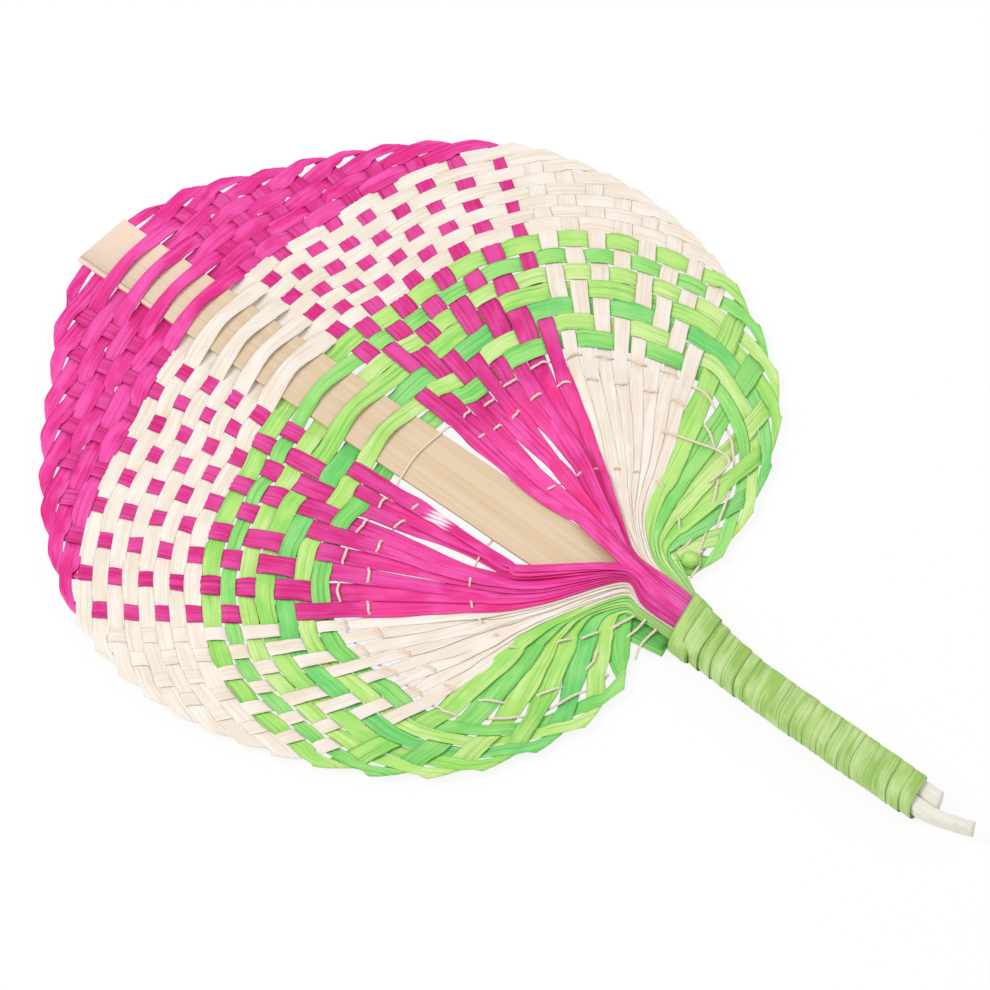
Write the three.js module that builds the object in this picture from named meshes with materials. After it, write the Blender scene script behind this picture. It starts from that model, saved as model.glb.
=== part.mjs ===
// A woven hand fan. Flat strips are interlaced on a bamboo spine slat, fold over at the rim, gather at the
// neck and are bound there by a wrapped handle. Millimetres, +Z up, +Y from the handle to the tip.
// The fan lies on its back: the slat runs along the back of the handle, with the strips and sticks before it.
import * as THREE from "three";

// Strips
const STRIP_WIDTH = 5.6;
const STRIP_THICKNESS = 0.24;
const WEAVE_CLEARANCE = 0.18; // between two strips at the corners of a crossing
const ARC_FILL = 0.82; // share of the pitch that a strip covers where it crosses the blade
const RADIAL_FILL = 0.68; // most of the spacing that a strip covers on its way to the neck
const ARC_PITCH = 5.0; // from one crossing strip to the next, pink and natural
const LOOSE_PITCH = 6.9; // the same for the green strips near the spine
const LOBE_PITCH = 5.3; // and for the green strips down in the lobes
const LOBE_SHARES = [0.45, 0.9]; // of the strips, where the pitch starts to close and is closed
const TWILL_STRIPS = 4; // how many of the innermost strips are woven over two and under two

// Spine slat
const SLAT_WIDTH = 21.4;
const SLAT_FLARE = 1.2; // how much wider the slat is at its tip
const SLAT_THICKNESS = 1.4;
const SLAT_TIP = 184; // from the middle of the fan's length to the tip
const TIP_BARE = 4.3; // from the tip to the middle of the first strip
const LEAN = -0.013; // sideways drift of the blade for each millimetre above the neck

// Rim of the blade, measured round a point on the spine, and its uneven lobes
const RIM_CENTRE = 61.4;
const RIM_RADIUS = 122; // at the tip, and the other distances are shares of it
const LOBE_UNEVEN = 0.016; // share by which the left lobe is larger, and the right one smaller
const LOBE_ANGLES = [112, 158]; // where on the rim that starts and is whole
const RIM = [
  [0, 1],
  [16, 0.9672],
  [30, 0.9221],
  [45, 0.9303],
  [60, 0.9672],
  [75, 1.0205],
  [92, 1.0574],
  [112, 1.0738],
  [137, 1.0943],
  [150, 1.0697],
  [162, 1.0492],
  [172, 1],
];

// Neck, where the strips turn on edge and go down side by side into the collar
const NECK_CLEARANCE = 0.08; // between the strips of the bundle
const NECK_SPLIT = 0.4; // between the left and the right bundle
const NECK_TOP = -36; // where the innermost strip turns straight down
const NECK_STEP = 0.45; // how much lower each next strip turns
const NECK_HEIGHT = 4.9; // of the innermost strip on edge
const NECK_OUTER_HEIGHT = 3.4; // of the outermost strip on edge
const SHOULDER_Y = -34; // middle of the ring that the strips bend round
const SHOULDER_GAP = 0.5; // from the slat's edge to the innermost strip
const SHOULDER_WIDE = 10;
const SHOULDER_HIGH = 19;
const SHOULDER_LOW = 14;
const SHINGLE = 0.9; // distance between neighbours that lie over each other like tiles

// Handle
const COLLAR_TOP = -62.3;
const COLLAR_LENGTH = 8.3;
const COLLAR_WALL = 2.0;
const FIT = 0.3; // clearance between the pieces of the handle
const GRIP_END = -163; // where the winding stops
const CORE_WIDTH = 10.8; // of the slat and sticks together inside the winding
const CORE_HEIGHT = 7.2;
const WRAP_TURNS = 16;
const WRAP_STEPS = 18; // in one turn
const WRAP_GAP = 0.55; // between two turns
const WRAP_THICKNESS = 1.0;
const STICK_BARE = 21; // how far the long stick stands out of the winding
const SHORT_STICK_BARE = 7;
const SHORT_STICK_WIDTH = 6.0;
const SHORT_STICK_CUT = 0.7; // share of its bare end at which its outer side is cut
const STICK_BEVEL = 1.1;
const STICK_TIP_WIDTH = 4.6; // of the long stick at its cut end
const STICK_TIP_SHIFT = 4.6; // how far its end bends aside, past the short stick
const STICK_KNEE = 0.55; // share of its bare end at which the bend is
const STICK_KNEE_IN = 1.2; // how far its outer side has come in there

// Binding threads
const THREAD_RADIUS = 0.5;
const THREAD_SIDES = 5;
const INNER_THREAD_AT = 0.6; // share of the way from the weave to the shoulder

// Strips by colour: how many, the angles of their folds on the rim and of their bends on the shoulder
const COLOURS = [
  { name: "pink", count: 9, fold: [13, 71.5], bend: [80, 53], tints: ["#f0309a"] },
  { name: "natural", count: 8, fold: [77, 114.5], bend: [49, 14], tints: ["#f8ead2"] },
  {
    name: "green",
    count: 7,
    fold: [121, 169],
    bend: [6, -45],
    tints: ["#9fe066", "#6fd060", "#a6e86a", "#9fe066", "#5dd070", "#a6e86a", "#6fd060"],
  },
];
const FOLD_SKEW = 2.8; // degrees by which the folds lie nearer the tip on the right than at the mean, beside it

const DEGREE = Math.PI / 180;
const mix = THREE.MathUtils.lerp;
const clamp01 = (value) => THREE.MathUtils.clamp(value, 0, 1);
const point = (x, y, z = 0) => new THREE.Vector3(x, y, z);
const between = (a, b, share) => a.clone().lerp(b, share);
const UP = point(0, 0, 1);

// One entry for each strip, from the tip inwards
const strips = COLOURS.flatMap((colour) =>
  Array.from({ length: colour.count }, (_, i) => ({
    name: `${colour.name}_strip_${i + 1}`,
    tint: colour.tints[i % colour.tints.length],
    fold: mix(colour.fold[0], colour.fold[1], i / (colour.count - 1)) * DEGREE,
    bend: mix(colour.bend[0], colour.bend[1], i / (colour.count - 1)) * DEGREE,
  })),
);
const LAST = strips.length - 1;
const THREAD_ARC = strips.length; // the outer thread is woven as one more crossing after the last strip
const FIRST_LOOSE = COLOURS[0].count + COLOURS[1].count;

// Heights above the slat's middle plane
const WEAVE_HEIGHT = (STRIP_THICKNESS + WEAVE_CLEARANCE) / (2 - ARC_FILL - RADIAL_FILL);
const SLAT_FACE = SLAT_THICKNESS / 2;
const OVER_SLAT = SLAT_FACE + STRIP_THICKNESS / 2 + WEAVE_CLEARANCE;
const NECK_SEAT = SLAT_FACE + FIT;

// Half the slat's width: it flares a little to the tip and narrows under the gathered strips
const HANDLE_SLAT_HALF = (CORE_WIDTH - 2 * STICK_BEVEL) / 2;
const slatHalf = (y) => SLAT_WIDTH / 2 + (SLAT_FLARE / 2) * clamp01((y - NECK_TOP) / (SLAT_TIP - NECK_TOP));

// The blade drifts sideways above the neck
const leaning = (p) => point(p.x + LEAN * Math.max(0, p.y - NECK_TOP), p.y, p.z);

// Distance of the rim from its centre, straight between the measured angles
function rimRadius(angle, side) {
  const degrees = angle / DEGREE;
  const next = Math.max(1, RIM.findIndex((entry) => entry[0] >= degrees));
  const [a0, r0] = RIM[next - 1];
  const [a1, r1] = RIM[next];
  const lobe = THREE.MathUtils.smoothstep(degrees, ...LOBE_ANGLES);
  const share = mix(r0, r1, (degrees - a0) / (a1 - a0));
  return RIM_RADIUS * share * (1 - side * LOBE_UNEVEN * lobe);
}

// Spacing between crossing strip m and the one before it, along the way of strip k to the neck
function pitch(k, m) {
  if (m < FIRST_LOOSE) return ARC_PITCH;
  return mix(LOOSE_PITCH, LOBE_PITCH, THREE.MathUtils.smoothstep(k / LAST, ...LOBE_SHARES));
}

// Where strip k bends at the shoulder of the neck, on half an ellipse beside the slat
function shoulder(k) {
  const angle = strips[k].bend;
  const inner = SLAT_WIDTH / 2 + STRIP_WIDTH / 2 + SHOULDER_GAP;
  const centre = inner - SHOULDER_WIDE * Math.cos(strips[0].bend);
  const high = angle > 0 ? SHOULDER_HIGH : SHOULDER_LOW;
  return point(centre + SHOULDER_WIDE * Math.cos(angle), SHOULDER_Y + high * Math.sin(angle));
}

// The lattice of one half of the blade, seen from above on the right-hand side.
// cross(k, j) is where strip k, on its way to the neck, meets strip j, on its way across; k = -1 is the spine.
function makeLattice(side) {
  const folds = strips.map(({ fold }) => {
    const turn = fold - side * FOLD_SKEW * DEGREE * Math.sin(fold);
    const r = rimRadius(turn, side);
    return point(r * Math.sin(turn), RIM_CENTRE + r * Math.cos(turn));
  });
  const ways = folds.map((fold, k) => shoulder(k).sub(fold).normalize());
  function cross(k, j) {
    let depth = 0;
    for (let m = k + 1; m <= j; m += 1) {
      if (m > 0) depth += pitch(k, m);
    }
    if (k < 0) return point(0, SLAT_TIP - TIP_BARE - depth);
    return folds[k].clone().addScaledVector(ways[k], depth);
  }
  return { folds, ways, cross };
}

// Strip j passes over strip k, or the spine, at every second crossing; the first strip stays behind the tip.
// The innermost strips go over two and under two, each one a step on from the strip before it.
const TWILL_PERIOD = 4;
function arcSign(k, j) {
  if (j === 0) return -1;
  const twill = k >= 0 && j > LAST - TWILL_STRIPS && j <= LAST;
  if (twill) return (j - k) % TWILL_PERIOD < TWILL_PERIOD / 2 ? 1 : -1;
  return (k + j) % 2 !== 0 ? 1 : -1;
}

// Where strip j leaves the slat, just past its edge
function slatEdge(lattice, j) {
  const middle = lattice.cross(-1, j);
  const x = slatHalf(middle.y) + FIT;
  const first = j > 0 ? lattice.cross(0, j) : lattice.folds[0];
  return point(x, mix(middle.y, first.y, (x / first.x) ** 2));
}

// A station of a strip: its two edges in the middle of the thickness, and the way that its front face looks.
const station = (rim, neck, height, face) => ({
  rim: rim.clone().setZ(rim.z + height),
  neck: neck.clone().setZ(neck.z + height),
  face,
});

// Station of strip j where it crosses something at `at`, with `outside` and `inside` the same place on the
// strips next to it.
function crossingStation(at, outside, inside, height) {
  return station(between(at, outside, ARC_FILL / 2), between(at, inside, ARC_FILL / 2), height, UP);
}

// The crease at the rim: the strip is folded over along the line that halves the angle of the turn
function creaseStation(lattice, j) {
  const at = lattice.folds[j];
  const from = j > 0 ? lattice.cross(j - 1, j) : slatEdge(lattice, j);
  const way = at.clone().sub(from).normalize();
  const turn = way.angleTo(lattice.ways[j]);
  const reach = (ARC_FILL * pitch(j, j + 1)) / 2 / Math.sin(turn);
  const crease = way.clone().add(lattice.ways[j]).multiplyScalar(reach);
  const face = way.clone().sub(lattice.ways[j]).normalize();
  return station(at.clone().sub(crease), at.clone().add(crease), 0, face);
}

// Station of strip k on its way to the neck where it meets strip j
function radialStation(lattice, k, j) {
  const at = lattice.cross(k, j);
  const before = k > 0 ? lattice.cross(k - 1, j) : slatEdge(lattice, j);
  const after = k < LAST ? lattice.cross(k + 1, j) : at.clone().add(at).sub(before);
  const edge = (other, most) => {
    const gap = at.distanceTo(other);
    return between(at, other, Math.min(most, STRIP_WIDTH / 2 / gap));
  };
  const height = -arcSign(k, j) * WEAVE_HEIGHT;
  return station(edge(before, RADIAL_FILL / 2), edge(after, RADIAL_FILL / 2), height, UP.clone().negate());
}

// The free way of strip k from the weave to the collar, as points in plan with the share of the way done
const FREE_SHARES = [0.3, INNER_THREAD_AT, 0.85];
const neckX = (k) => NECK_SPLIT / 2 + STRIP_THICKNESS / 2 + k * (STRIP_THICKNESS + NECK_CLEARANCE);
function freeWay(lattice, k) {
  const start = lattice.cross(k, THREAD_ARC);
  const bend = shoulder(k);
  const turn = point(neckX(k), NECK_TOP - k * NECK_STEP);
  const end = point(neckX(k), COLLAR_TOP - COLLAR_LENGTH);
  return [start, ...FREE_SHARES.map((share) => between(start, bend, share)), bend, turn, end];
}

// Stations of the free way: the strips lie over each other like tiles and turn on edge at the shoulder.
// The outer edge of each one rises over its neighbour, and the lower edge climbs on to the slat.
function freeStations(lattice, k) {
  const ways = [k - 1, k, k + 1].map((n) => freeWay(lattice, THREE.MathUtils.clamp(n, 0, LAST)));
  const shares = [0, ...FREE_SHARES, 1, 1, 1];
  const way = ways[1];
  const neckWidth = mix(NECK_HEIGHT, NECK_OUTER_HEIGHT, (k / LAST) ** 2);
  const made = [];
  for (let i = 1; i < way.length; i += 1) {
    const back = way[i].clone().sub(way[i - 1]).normalize();
    const on = i + 1 < way.length ? way[i + 1].clone().sub(way[i]).normalize() : back;
    const along = back.clone().add(on).normalize();
    const across = point(-along.y, along.x);
    const neighbours = k > 0 && k < LAST ? 2 : 1;
    const spacing = Math.abs(ways[2][i].clone().sub(ways[0][i]).dot(across)) / neighbours;
    const onEdge = i > FREE_SHARES.length;
    const sine = onEdge ? 1 : Math.min(1, SHINGLE / spacing);
    const sideBySide = i > 1 ? Infinity : ARC_FILL * spacing;
    const half = Math.min(sideBySide, mix(RADIAL_FILL * LOOSE_PITCH, neckWidth, shares[i])) / 2;
    const cosine = Math.sqrt(1 - sine * sine);
    const rise = across.clone().multiplyScalar(cosine).setZ(sine);
    const face = across.clone().multiplyScalar(sine).setZ(-cosine);
    const middle = way[i].clone().setZ(shares[i] * NECK_SEAT + half * sine);
    made.push({
      rim: middle.clone().addScaledVector(rise, -half),
      neck: middle.clone().addScaledVector(rise, half),
      face,
    });
  }
  return made;
}

// Half of strip j, from the slat's edge across the blade, over the fold at the rim and down into the collar
function halfStrip(lattice, j) {
  const made = [];
  const edge = slatEdge(lattice, j);
  const width = point(0, pitch(-1, j + 1));
  const onSlat = arcSign(-1, j) * OVER_SLAT;
  made.push(crossingStation(edge, edge.clone().add(width), edge.clone().sub(width), onSlat));
  if (j === 0) {
    const way = edge.clone().add(lattice.folds[0]).divideScalar(2);
    made.push(crossingStation(way, way.clone().add(width), way.clone().sub(width), WEAVE_HEIGHT / 2));
  }
  for (let k = 0; k < j; k += 1) {
    const [outside, at, inside] = [j - 1, j, j + 1].map((arc) => lattice.cross(k, arc));
    made.push(crossingStation(at, outside, inside, arcSign(k, j) * WEAVE_HEIGHT));
  }
  made.push(creaseStation(lattice, j));
  for (let m = j + 1; m <= THREAD_ARC; m += 1) {
    made.push(radialStation(lattice, j, m));
  }
  return made.concat(freeStations(lattice, j));
}

const mirrored = (p) => point(-p.x, p.y, p.z);
const mirrorStation = (s) => ({ rim: mirrored(s.rim), neck: mirrored(s.neck), face: mirrored(s.face) });

// A closed solid through rings of equal count, with a flat cap at each end
function loft(rings) {
  const count = rings[0].length;
  const positions = rings.flatMap((ring) => ring.flatMap((p) => [p.x, p.y, p.z]));
  const faces = [];
  for (let r = 0; r + 1 < rings.length; r += 1) {
    for (let i = 0; i < count; i += 1) {
      const a = r * count + i;
      const b = r * count + ((i + 1) % count);
      const diagonal = i < count / 2;
      if (diagonal) faces.push(a, b, b + count, a, b + count, a + count);
      else faces.push(b, b + count, a + count, b, a + count, a);
    }
  }
  const last = (rings.length - 1) * count;
  for (let i = 1; i + 1 < count; i += 1) {
    faces.push(0, i + 1, i, last, last + i, last + i + 1);
  }
  const geometry = new THREE.BufferGeometry();
  geometry.setAttribute("position", new THREE.Float32BufferAttribute(positions, 3));
  geometry.setIndex(faces);
  geometry.computeVertexNormals();
  return geometry;
}

// One whole strip, from the collar up the left side, across and down the right side
function stripGeometry(lattices, j) {
  const right = halfStrip(lattices.right, j);
  const left = halfStrip(lattices.left, j).map(mirrorStation).reverse();
  const middle = lattices.right.cross(-1, j);
  const width = point(0, pitch(-1, j + 1));
  const onSlat = arcSign(-1, j) * OVER_SLAT;
  const top = crossingStation(middle, middle.clone().add(width), middle.clone().sub(width), onSlat);
  const rings = [...left, top, ...right].map(({ rim, neck, face }) => {
    const half = face.clone().multiplyScalar(STRIP_THICKNESS / 2);
    const front = [rim.clone().add(half), neck.clone().add(half)];
    const back = [neck.clone().sub(half), rim.clone().sub(half)];
    return [...front, ...back].map(leaning);
  });
  return loft(rings);
}

// A thread along points that run from left to right
function threadGeometry(points) {
  const rings = points.map((p, i) => {
    const before = points[Math.max(0, i - 1)];
    const after = points[Math.min(points.length - 1, i + 1)];
    const along = after.clone().sub(before).normalize();
    const side = point(-along.y, along.x).normalize();
    const up = along.clone().cross(side).normalize();
    return Array.from({ length: THREAD_SIDES }, (_, n) => {
      const angle = (n / THREAD_SIDES) * 2 * Math.PI;
      const offset = side.clone().multiplyScalar(Math.cos(angle)).addScaledVector(up, Math.sin(angle));
      return leaning(p.clone().addScaledVector(offset, THREAD_RADIUS));
    });
  });
  return loft(rings);
}

// Both halves of a thread, joined at the slat
const bothHalves = (half) => [...half("left").map(mirrored).reverse(), ...half("right")];

// The outer thread is woven through the strips as one more crossing and lies over the slat
function outerThreadHalf(lattice) {
  const edge = slatEdge(lattice, THREAD_ARC);
  const made = [edge.setZ(SLAT_FACE + THREAD_RADIUS + WEAVE_CLEARANCE)];
  for (let k = 0; k <= LAST; k += 1) {
    made.push(lattice.cross(k, THREAD_ARC).setZ(arcSign(k, THREAD_ARC) * WEAVE_HEIGHT));
  }
  return made;
}

// The inner thread runs behind the slat and the free strips
function innerThreadHalf(lattice) {
  const share = 1 + FREE_SHARES.indexOf(INNER_THREAD_AT);
  const behind = INNER_THREAD_AT * NECK_SEAT - STRIP_THICKNESS / 2 - THREAD_RADIUS - WEAVE_CLEARANCE;
  const ways = strips.map((_, k) => freeWay(lattice, k)[share].setZ(behind));
  const edge = point(slatHalf(ways[0].y) + FIT, ways[0].y, -SLAT_FACE - THREAD_RADIUS - WEAVE_CLEARANCE);
  return [edge, ...ways];
}

// The slat: a flat board that narrows under the gathered strips and runs down inside the winding
function slatGeometry() {
  const tip = SLAT_WIDTH / 2 + SLAT_FLARE / 2;
  const rightEdge = [
    [tip, SLAT_TIP],
    [SLAT_WIDTH / 2, NECK_TOP],
    [HANDLE_SLAT_HALF, (NECK_TOP + COLLAR_TOP) / 2],
    [HANDLE_SLAT_HALF, GRIP_END + WRAP_THICKNESS],
  ].map(([x, y]) => leaning(point(x, y)));
  const leftEdge = [
    [-HANDLE_SLAT_HALF, GRIP_END + WRAP_THICKNESS],
    [-HANDLE_SLAT_HALF, (NECK_TOP + COLLAR_TOP) / 2],
    [-SLAT_WIDTH / 2, NECK_TOP],
    [-tip, SLAT_TIP],
  ].map(([x, y]) => leaning(point(x, y)));
  const shape = new THREE.Shape([...rightEdge, ...leftEdge].map((p) => new THREE.Vector2(p.x, p.y)));
  const board = new THREE.ExtrudeGeometry(shape, { depth: SLAT_THICKNESS, bevelEnabled: false });
  return board.translate(0, 0, -SLAT_FACE);
}

// A rounded box as a superellipse: half sizes, and the middle of its height
const CORNER_POWER = 0.5;
function roundedBox(half, height, middle, angle) {
  const c = Math.cos(angle);
  const s = Math.sin(angle);
  const x = half * Math.sign(c) * Math.abs(c) ** CORNER_POWER;
  const z = middle + height * Math.sign(s) * Math.abs(s) ** CORNER_POWER;
  return { x, z };
}

// Core of the grip: the slat at the back and the sticks before it
const CORE_BOTTOM = -SLAT_FACE;
const CORE_MIDDLE = CORE_BOTTOM + CORE_HEIGHT / 2;

// The collar: a band round the slat and the bundle of strips
const BUNDLE_HALF = neckX(LAST) + STRIP_THICKNESS / 2;
const BUNDLE_TOP = NECK_SEAT + NECK_HEIGHT;
const COLLAR_POINTS = 40;
function collarGeometry() {
  const middle = (BUNDLE_TOP + CORE_BOTTOM) / 2;
  const outline = (grow) =>
    Array.from({ length: COLLAR_POINTS }, (_, i) => {
      const angle = (i / COLLAR_POINTS) * 2 * Math.PI;
      const half = BUNDLE_HALF + 2 * FIT + grow;
      const height = BUNDLE_TOP - middle + FIT + grow;
      const { x, z } = roundedBox(half, height, middle, angle);
      return new THREE.Vector2(x, z);
    });
  const shape = new THREE.Shape(outline(COLLAR_WALL));
  shape.holes.push(new THREE.Path(outline(0)));
  const band = new THREE.ExtrudeGeometry(shape, { depth: COLLAR_LENGTH, bevelEnabled: false });
  return band.rotateX(Math.PI / 2).translate(0, COLLAR_TOP, 0);
}

// The winding: one flat strip wound down the grip, as a helix of four-cornered rings on the rounded core
const GRIP_TOP = COLLAR_TOP - COLLAR_LENGTH - FIT;
const WRAP_PITCH = (GRIP_TOP - GRIP_END) / (WRAP_TURNS + 1);
const WRAP_WIDTH = WRAP_PITCH - WRAP_GAP;
function wrapRings() {
  const rings = [];
  for (let i = 0; i <= WRAP_TURNS * WRAP_STEPS; i += 1) {
    const angle = (i / WRAP_STEPS) * 2 * Math.PI;
    const top = GRIP_TOP - (i / WRAP_STEPS) * WRAP_PITCH;
    const corner = (grow, y) => {
      const { x, z } = roundedBox(CORE_WIDTH / 2 + grow, CORE_HEIGHT / 2 + grow, CORE_MIDDLE, angle);
      return point(x, y, z);
    };
    const inside = 2 * FIT;
    const outside = 2 * FIT + WRAP_THICKNESS;
    rings.push([
      corner(inside, top),
      corner(inside, top - WRAP_WIDTH),
      corner(outside, top - WRAP_WIDTH),
      corner(outside, top),
    ]);
  }
  return rings;
}

// The least distance between the points of one turn and those of the other turns
function leastGap(rings) {
  let least = Infinity;
  for (let a = 0; a < rings.length; a += 1) {
    for (let b = a + WRAP_STEPS / 2; b < rings.length; b += 1) {
      for (const p of rings[a]) {
        for (const q of rings[b]) least = Math.min(least, p.distanceTo(q));
      }
    }
  }
  return least;
}

// A core stick: an outline seen from above, carried up from the slat's face with bevelled edges
function stickGeometry(outline) {
  const shape = new THREE.Shape(outline.map(([x, y]) => new THREE.Vector2(x, y)));
  const bottom = SLAT_FACE + FIT;
  const top = CORE_BOTTOM + CORE_HEIGHT;
  const stick = new THREE.ExtrudeGeometry(shape, {
    depth: top - bottom - 2 * STICK_BEVEL,
    bevelThickness: STICK_BEVEL,
    bevelSize: STICK_BEVEL,
    bevelOffset: -STICK_BEVEL,
    bevelSegments: 1,
  });
  return stick.translate(0, 0, bottom + STICK_BEVEL);
}

const STICK_TOP = GRIP_TOP;
const STICK_END = GRIP_END - STICK_BARE;
const SHORT_STICK_END = GRIP_END - SHORT_STICK_BARE;
const CORE_HALF = CORE_WIDTH / 2;
const SPLIT_X = CORE_HALF - SHORT_STICK_WIDTH;
const STICK_TIP_X = SPLIT_X - FIT + STICK_TIP_SHIFT;
const longStick = () =>
  stickGeometry([
    [-CORE_HALF, STICK_TOP],
    [-CORE_HALF, GRIP_END],
    [STICK_KNEE_IN - CORE_HALF, mix(GRIP_END, STICK_END, STICK_KNEE)],
    [STICK_TIP_X - STICK_TIP_WIDTH, STICK_END],
    [STICK_TIP_X, STICK_END],
    [SPLIT_X - FIT, SHORT_STICK_END - FIT],
    [SPLIT_X - FIT, STICK_TOP],
  ]);
const shortStick = () =>
  stickGeometry([
    [SPLIT_X, STICK_TOP],
    [SPLIT_X, GRIP_END],
    [SPLIT_X + FIT, SHORT_STICK_END],
    [CORE_HALF, mix(GRIP_END, SHORT_STICK_END, SHORT_STICK_CUT)],
    [CORE_HALF, STICK_TOP],
  ]);

const finish = (color, roughness) => new THREE.MeshStandardMaterial({ color, roughness, metalness: 0 });

function makeFan() {
  const lattices = { right: makeLattice(1), left: makeLattice(-1) };
  const fan = new THREE.Group();
  const add = (name, geometry, material) => {
    const mesh = new THREE.Mesh(geometry, material);
    mesh.name = name;
    fan.add(mesh);
  };
  add("spine_slat", slatGeometry(), finish("#e6cfa8", 0.55));
  strips.forEach(({ name, tint }, j) => add(name, stripGeometry(lattices, j), finish(tint, 0.5)));
  const thread = finish("#ead5bc", 0.8);
  add("outer_thread", threadGeometry(bothHalves((side) => outerThreadHalf(lattices[side]))), thread);
  add("inner_thread", threadGeometry(bothHalves((side) => innerThreadHalf(lattices[side]))), thread);
  const wrap = finish("#a5d263", 0.5);
  add("collar_band", collarGeometry(), wrap);
  const rings = wrapRings();
  console.log(`handle winding: least gap to itself ${leastGap(rings).toFixed(2)} mm`);
  add("handle_winding", loft(rings), wrap);
  const stick = finish("#ede6da", 0.6);
  add("long_stick", longStick(), stick);
  add("short_stick", shortStick(), stick);

  // The fan rests on the middle of the underside of its box
  const box = new THREE.Box3().setFromObject(fan);
  const middle = box.getCenter(point(0, 0));
  fan.position.set(-middle.x, -middle.y, -box.min.z);
  return new THREE.Group().add(fan);
}

export default makeFan();
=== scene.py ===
import math

import bpy
import numpy as np
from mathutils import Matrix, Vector


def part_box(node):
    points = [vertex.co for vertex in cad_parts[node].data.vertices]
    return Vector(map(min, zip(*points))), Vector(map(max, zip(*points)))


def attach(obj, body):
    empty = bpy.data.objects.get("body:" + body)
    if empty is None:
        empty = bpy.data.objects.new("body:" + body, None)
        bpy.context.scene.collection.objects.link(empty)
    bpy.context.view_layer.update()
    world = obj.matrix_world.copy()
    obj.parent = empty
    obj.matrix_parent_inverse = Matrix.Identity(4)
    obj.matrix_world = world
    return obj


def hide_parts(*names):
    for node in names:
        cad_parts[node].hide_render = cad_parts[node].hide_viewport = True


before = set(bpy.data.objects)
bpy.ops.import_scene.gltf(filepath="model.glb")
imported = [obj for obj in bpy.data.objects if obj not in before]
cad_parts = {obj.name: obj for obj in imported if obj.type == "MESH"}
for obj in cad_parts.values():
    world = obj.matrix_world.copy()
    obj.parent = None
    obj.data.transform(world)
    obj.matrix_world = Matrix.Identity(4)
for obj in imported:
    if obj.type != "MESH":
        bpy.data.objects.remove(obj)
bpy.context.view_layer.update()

bl_info = {
    "name": "Woven Hand Fan",
    "version": (1, 0, 0),
    "blender": (4, 5, 0),
    "location": "3D View > Sidebar > Hand Fan",
    "description": "Dresses the solids of a woven hand fan: interlaced strips, slat, threads and wrapped handle",
    "category": "Object",
}

MM = 1000  # millimetres in a metre

# The lattice of the weave, in millimetres and degrees, as the solids have it
ARC_PITCH, LOOSE_PITCH, LOBE_PITCH = 5.0, 6.9, 5.3
LOBE_SHARES = (0.45, 0.9)
LAST_TIGHT = 16  # the crossing strips up to this one are packed tight
SLAT_WIDTH, SLAT_FLARE, SLAT_THICKNESS = 21.4, 1.2, 1.4
SLAT_TIP, TIP_BARE, LEAN = 184.0, 4.3, -0.013
RIM_CENTRE, LOBE_UNEVEN, LOBE_ANGLES = 61.4, 0.016, (112.0, 158.0)
RIM_ANGLES = (0, 16, 30, 45, 60, 75, 92, 112, 137, 150, 162, 172)
RIM_RADII = (122, 118, 112.5, 113.5, 118, 124.5, 129, 131, 133.5, 130.5, 128, 122)
# How much further out the folds lie than in the solids, right and left
RIM_DRAWN = {
    1: (0.0, 0.3, -0.4, 0.0, 0.8, 1.7, 0.8, 0.6, 1.2, 0.4, -1.2, -0.4),
    -1: (0.0, -1.2, -2.2, -2.2, -2.2, -2.4, -2.4, -2.4, 0.4, 2.0, 1.4, -0.2),
}
LEFT_CLOSE = 0.13  # share by which the green strips lie closer together on the left
RIGHT_CLOSE = 0.06  # share by which the natural strips lie closer together on the right
NECK_TOP, SHOULDER_Y, SHOULDER_GAP = -36.0, -34.0, 0.5
SHOULDER_WIDE, SHOULDER_HIGH, SHOULDER_LOW = 10.0, 19.0, 14.0
STRIP_ROOM = 5.6  # beside the slat, for the first strip at its bend
COLLAR_TOP, COLLAR_LENGTH, GRIP_END = -62.3, 8.3, -163.0
CORE_WIDTH, CORE_HEIGHT = 10.8, 7.2
STICK_END, SHORT_STICK_END, SPLIT_X = -184.0, -170.0, -0.6
SLAT_FACE = SLAT_THICKNESS / 2
CORE_MIDDLE = CORE_HEIGHT / 2 - SLAT_FACE
GRIP_TOP = COLLAR_TOP - COLLAR_LENGTH - 0.3

# Strips by colour, from the tip inwards: count, angles of their folds on the rim and of their bends at the neck
PINK, NATURAL, GREEN = range(3)
GROUPS = (
    ("pink", 9, (13, 71.5), (80, 53)),
    ("natural", 8, (77, 114.5), (49, 14)),
    ("green", 7, (121, 169), (6, -45)),
)
FOLDS = np.concatenate([np.linspace(*fold, count) for _, count, fold, _ in GROUPS])
BENDS = np.concatenate([np.linspace(*bend, count) for _, count, _, bend in GROUPS])
FOLD_SKEW = 2.8  # how far the folds lie nearer the tip on the right, at most
COUNT = len(FOLDS)
GROUP_OF = np.repeat(np.arange(len(GROUPS)), [count for _, count, _, _ in GROUPS])
THREAD_ARC = COUNT
LEFT_BOW = ((0, 8, 16, 23), (-2.0, 5.0, 5.4, 0.0))  # how far the ways of the left strips bow away from the slat
TWILL_FROM = 20  # from this crossing strip on, the weave is over two and under two

# The stage: the camera's place and target in millimetres from the blade's middle, the rest in metres
CAMERA_PLACE, CAMERA_TARGET = (-772.7, -619.6, 1584.7), (2.56, 14.8, 0.0)
SENSOR_WIDTH = 36.0  # millimetres
KEY_PLACE, FILL_PLACE, LAMP_SIZE = (-0.9, 0.9, 1.7), (1.3, -0.5, 1.2), 1.2
FLOOR_REACH, FLOOR_DROP = 6.0, 0.0004
FLOOR_BRIGHT = 0.88  # how much of the floor's own white the camera sees

# Seeds of the uneven handwork
WEAVE_SEED, NICK_SEED, NECK_SEED, SLAT_SEED, STITCH_SEED, COLLAR_SEED, WINDING_SEED = 11, 41, 17, 5, 3, 21, 31


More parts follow.
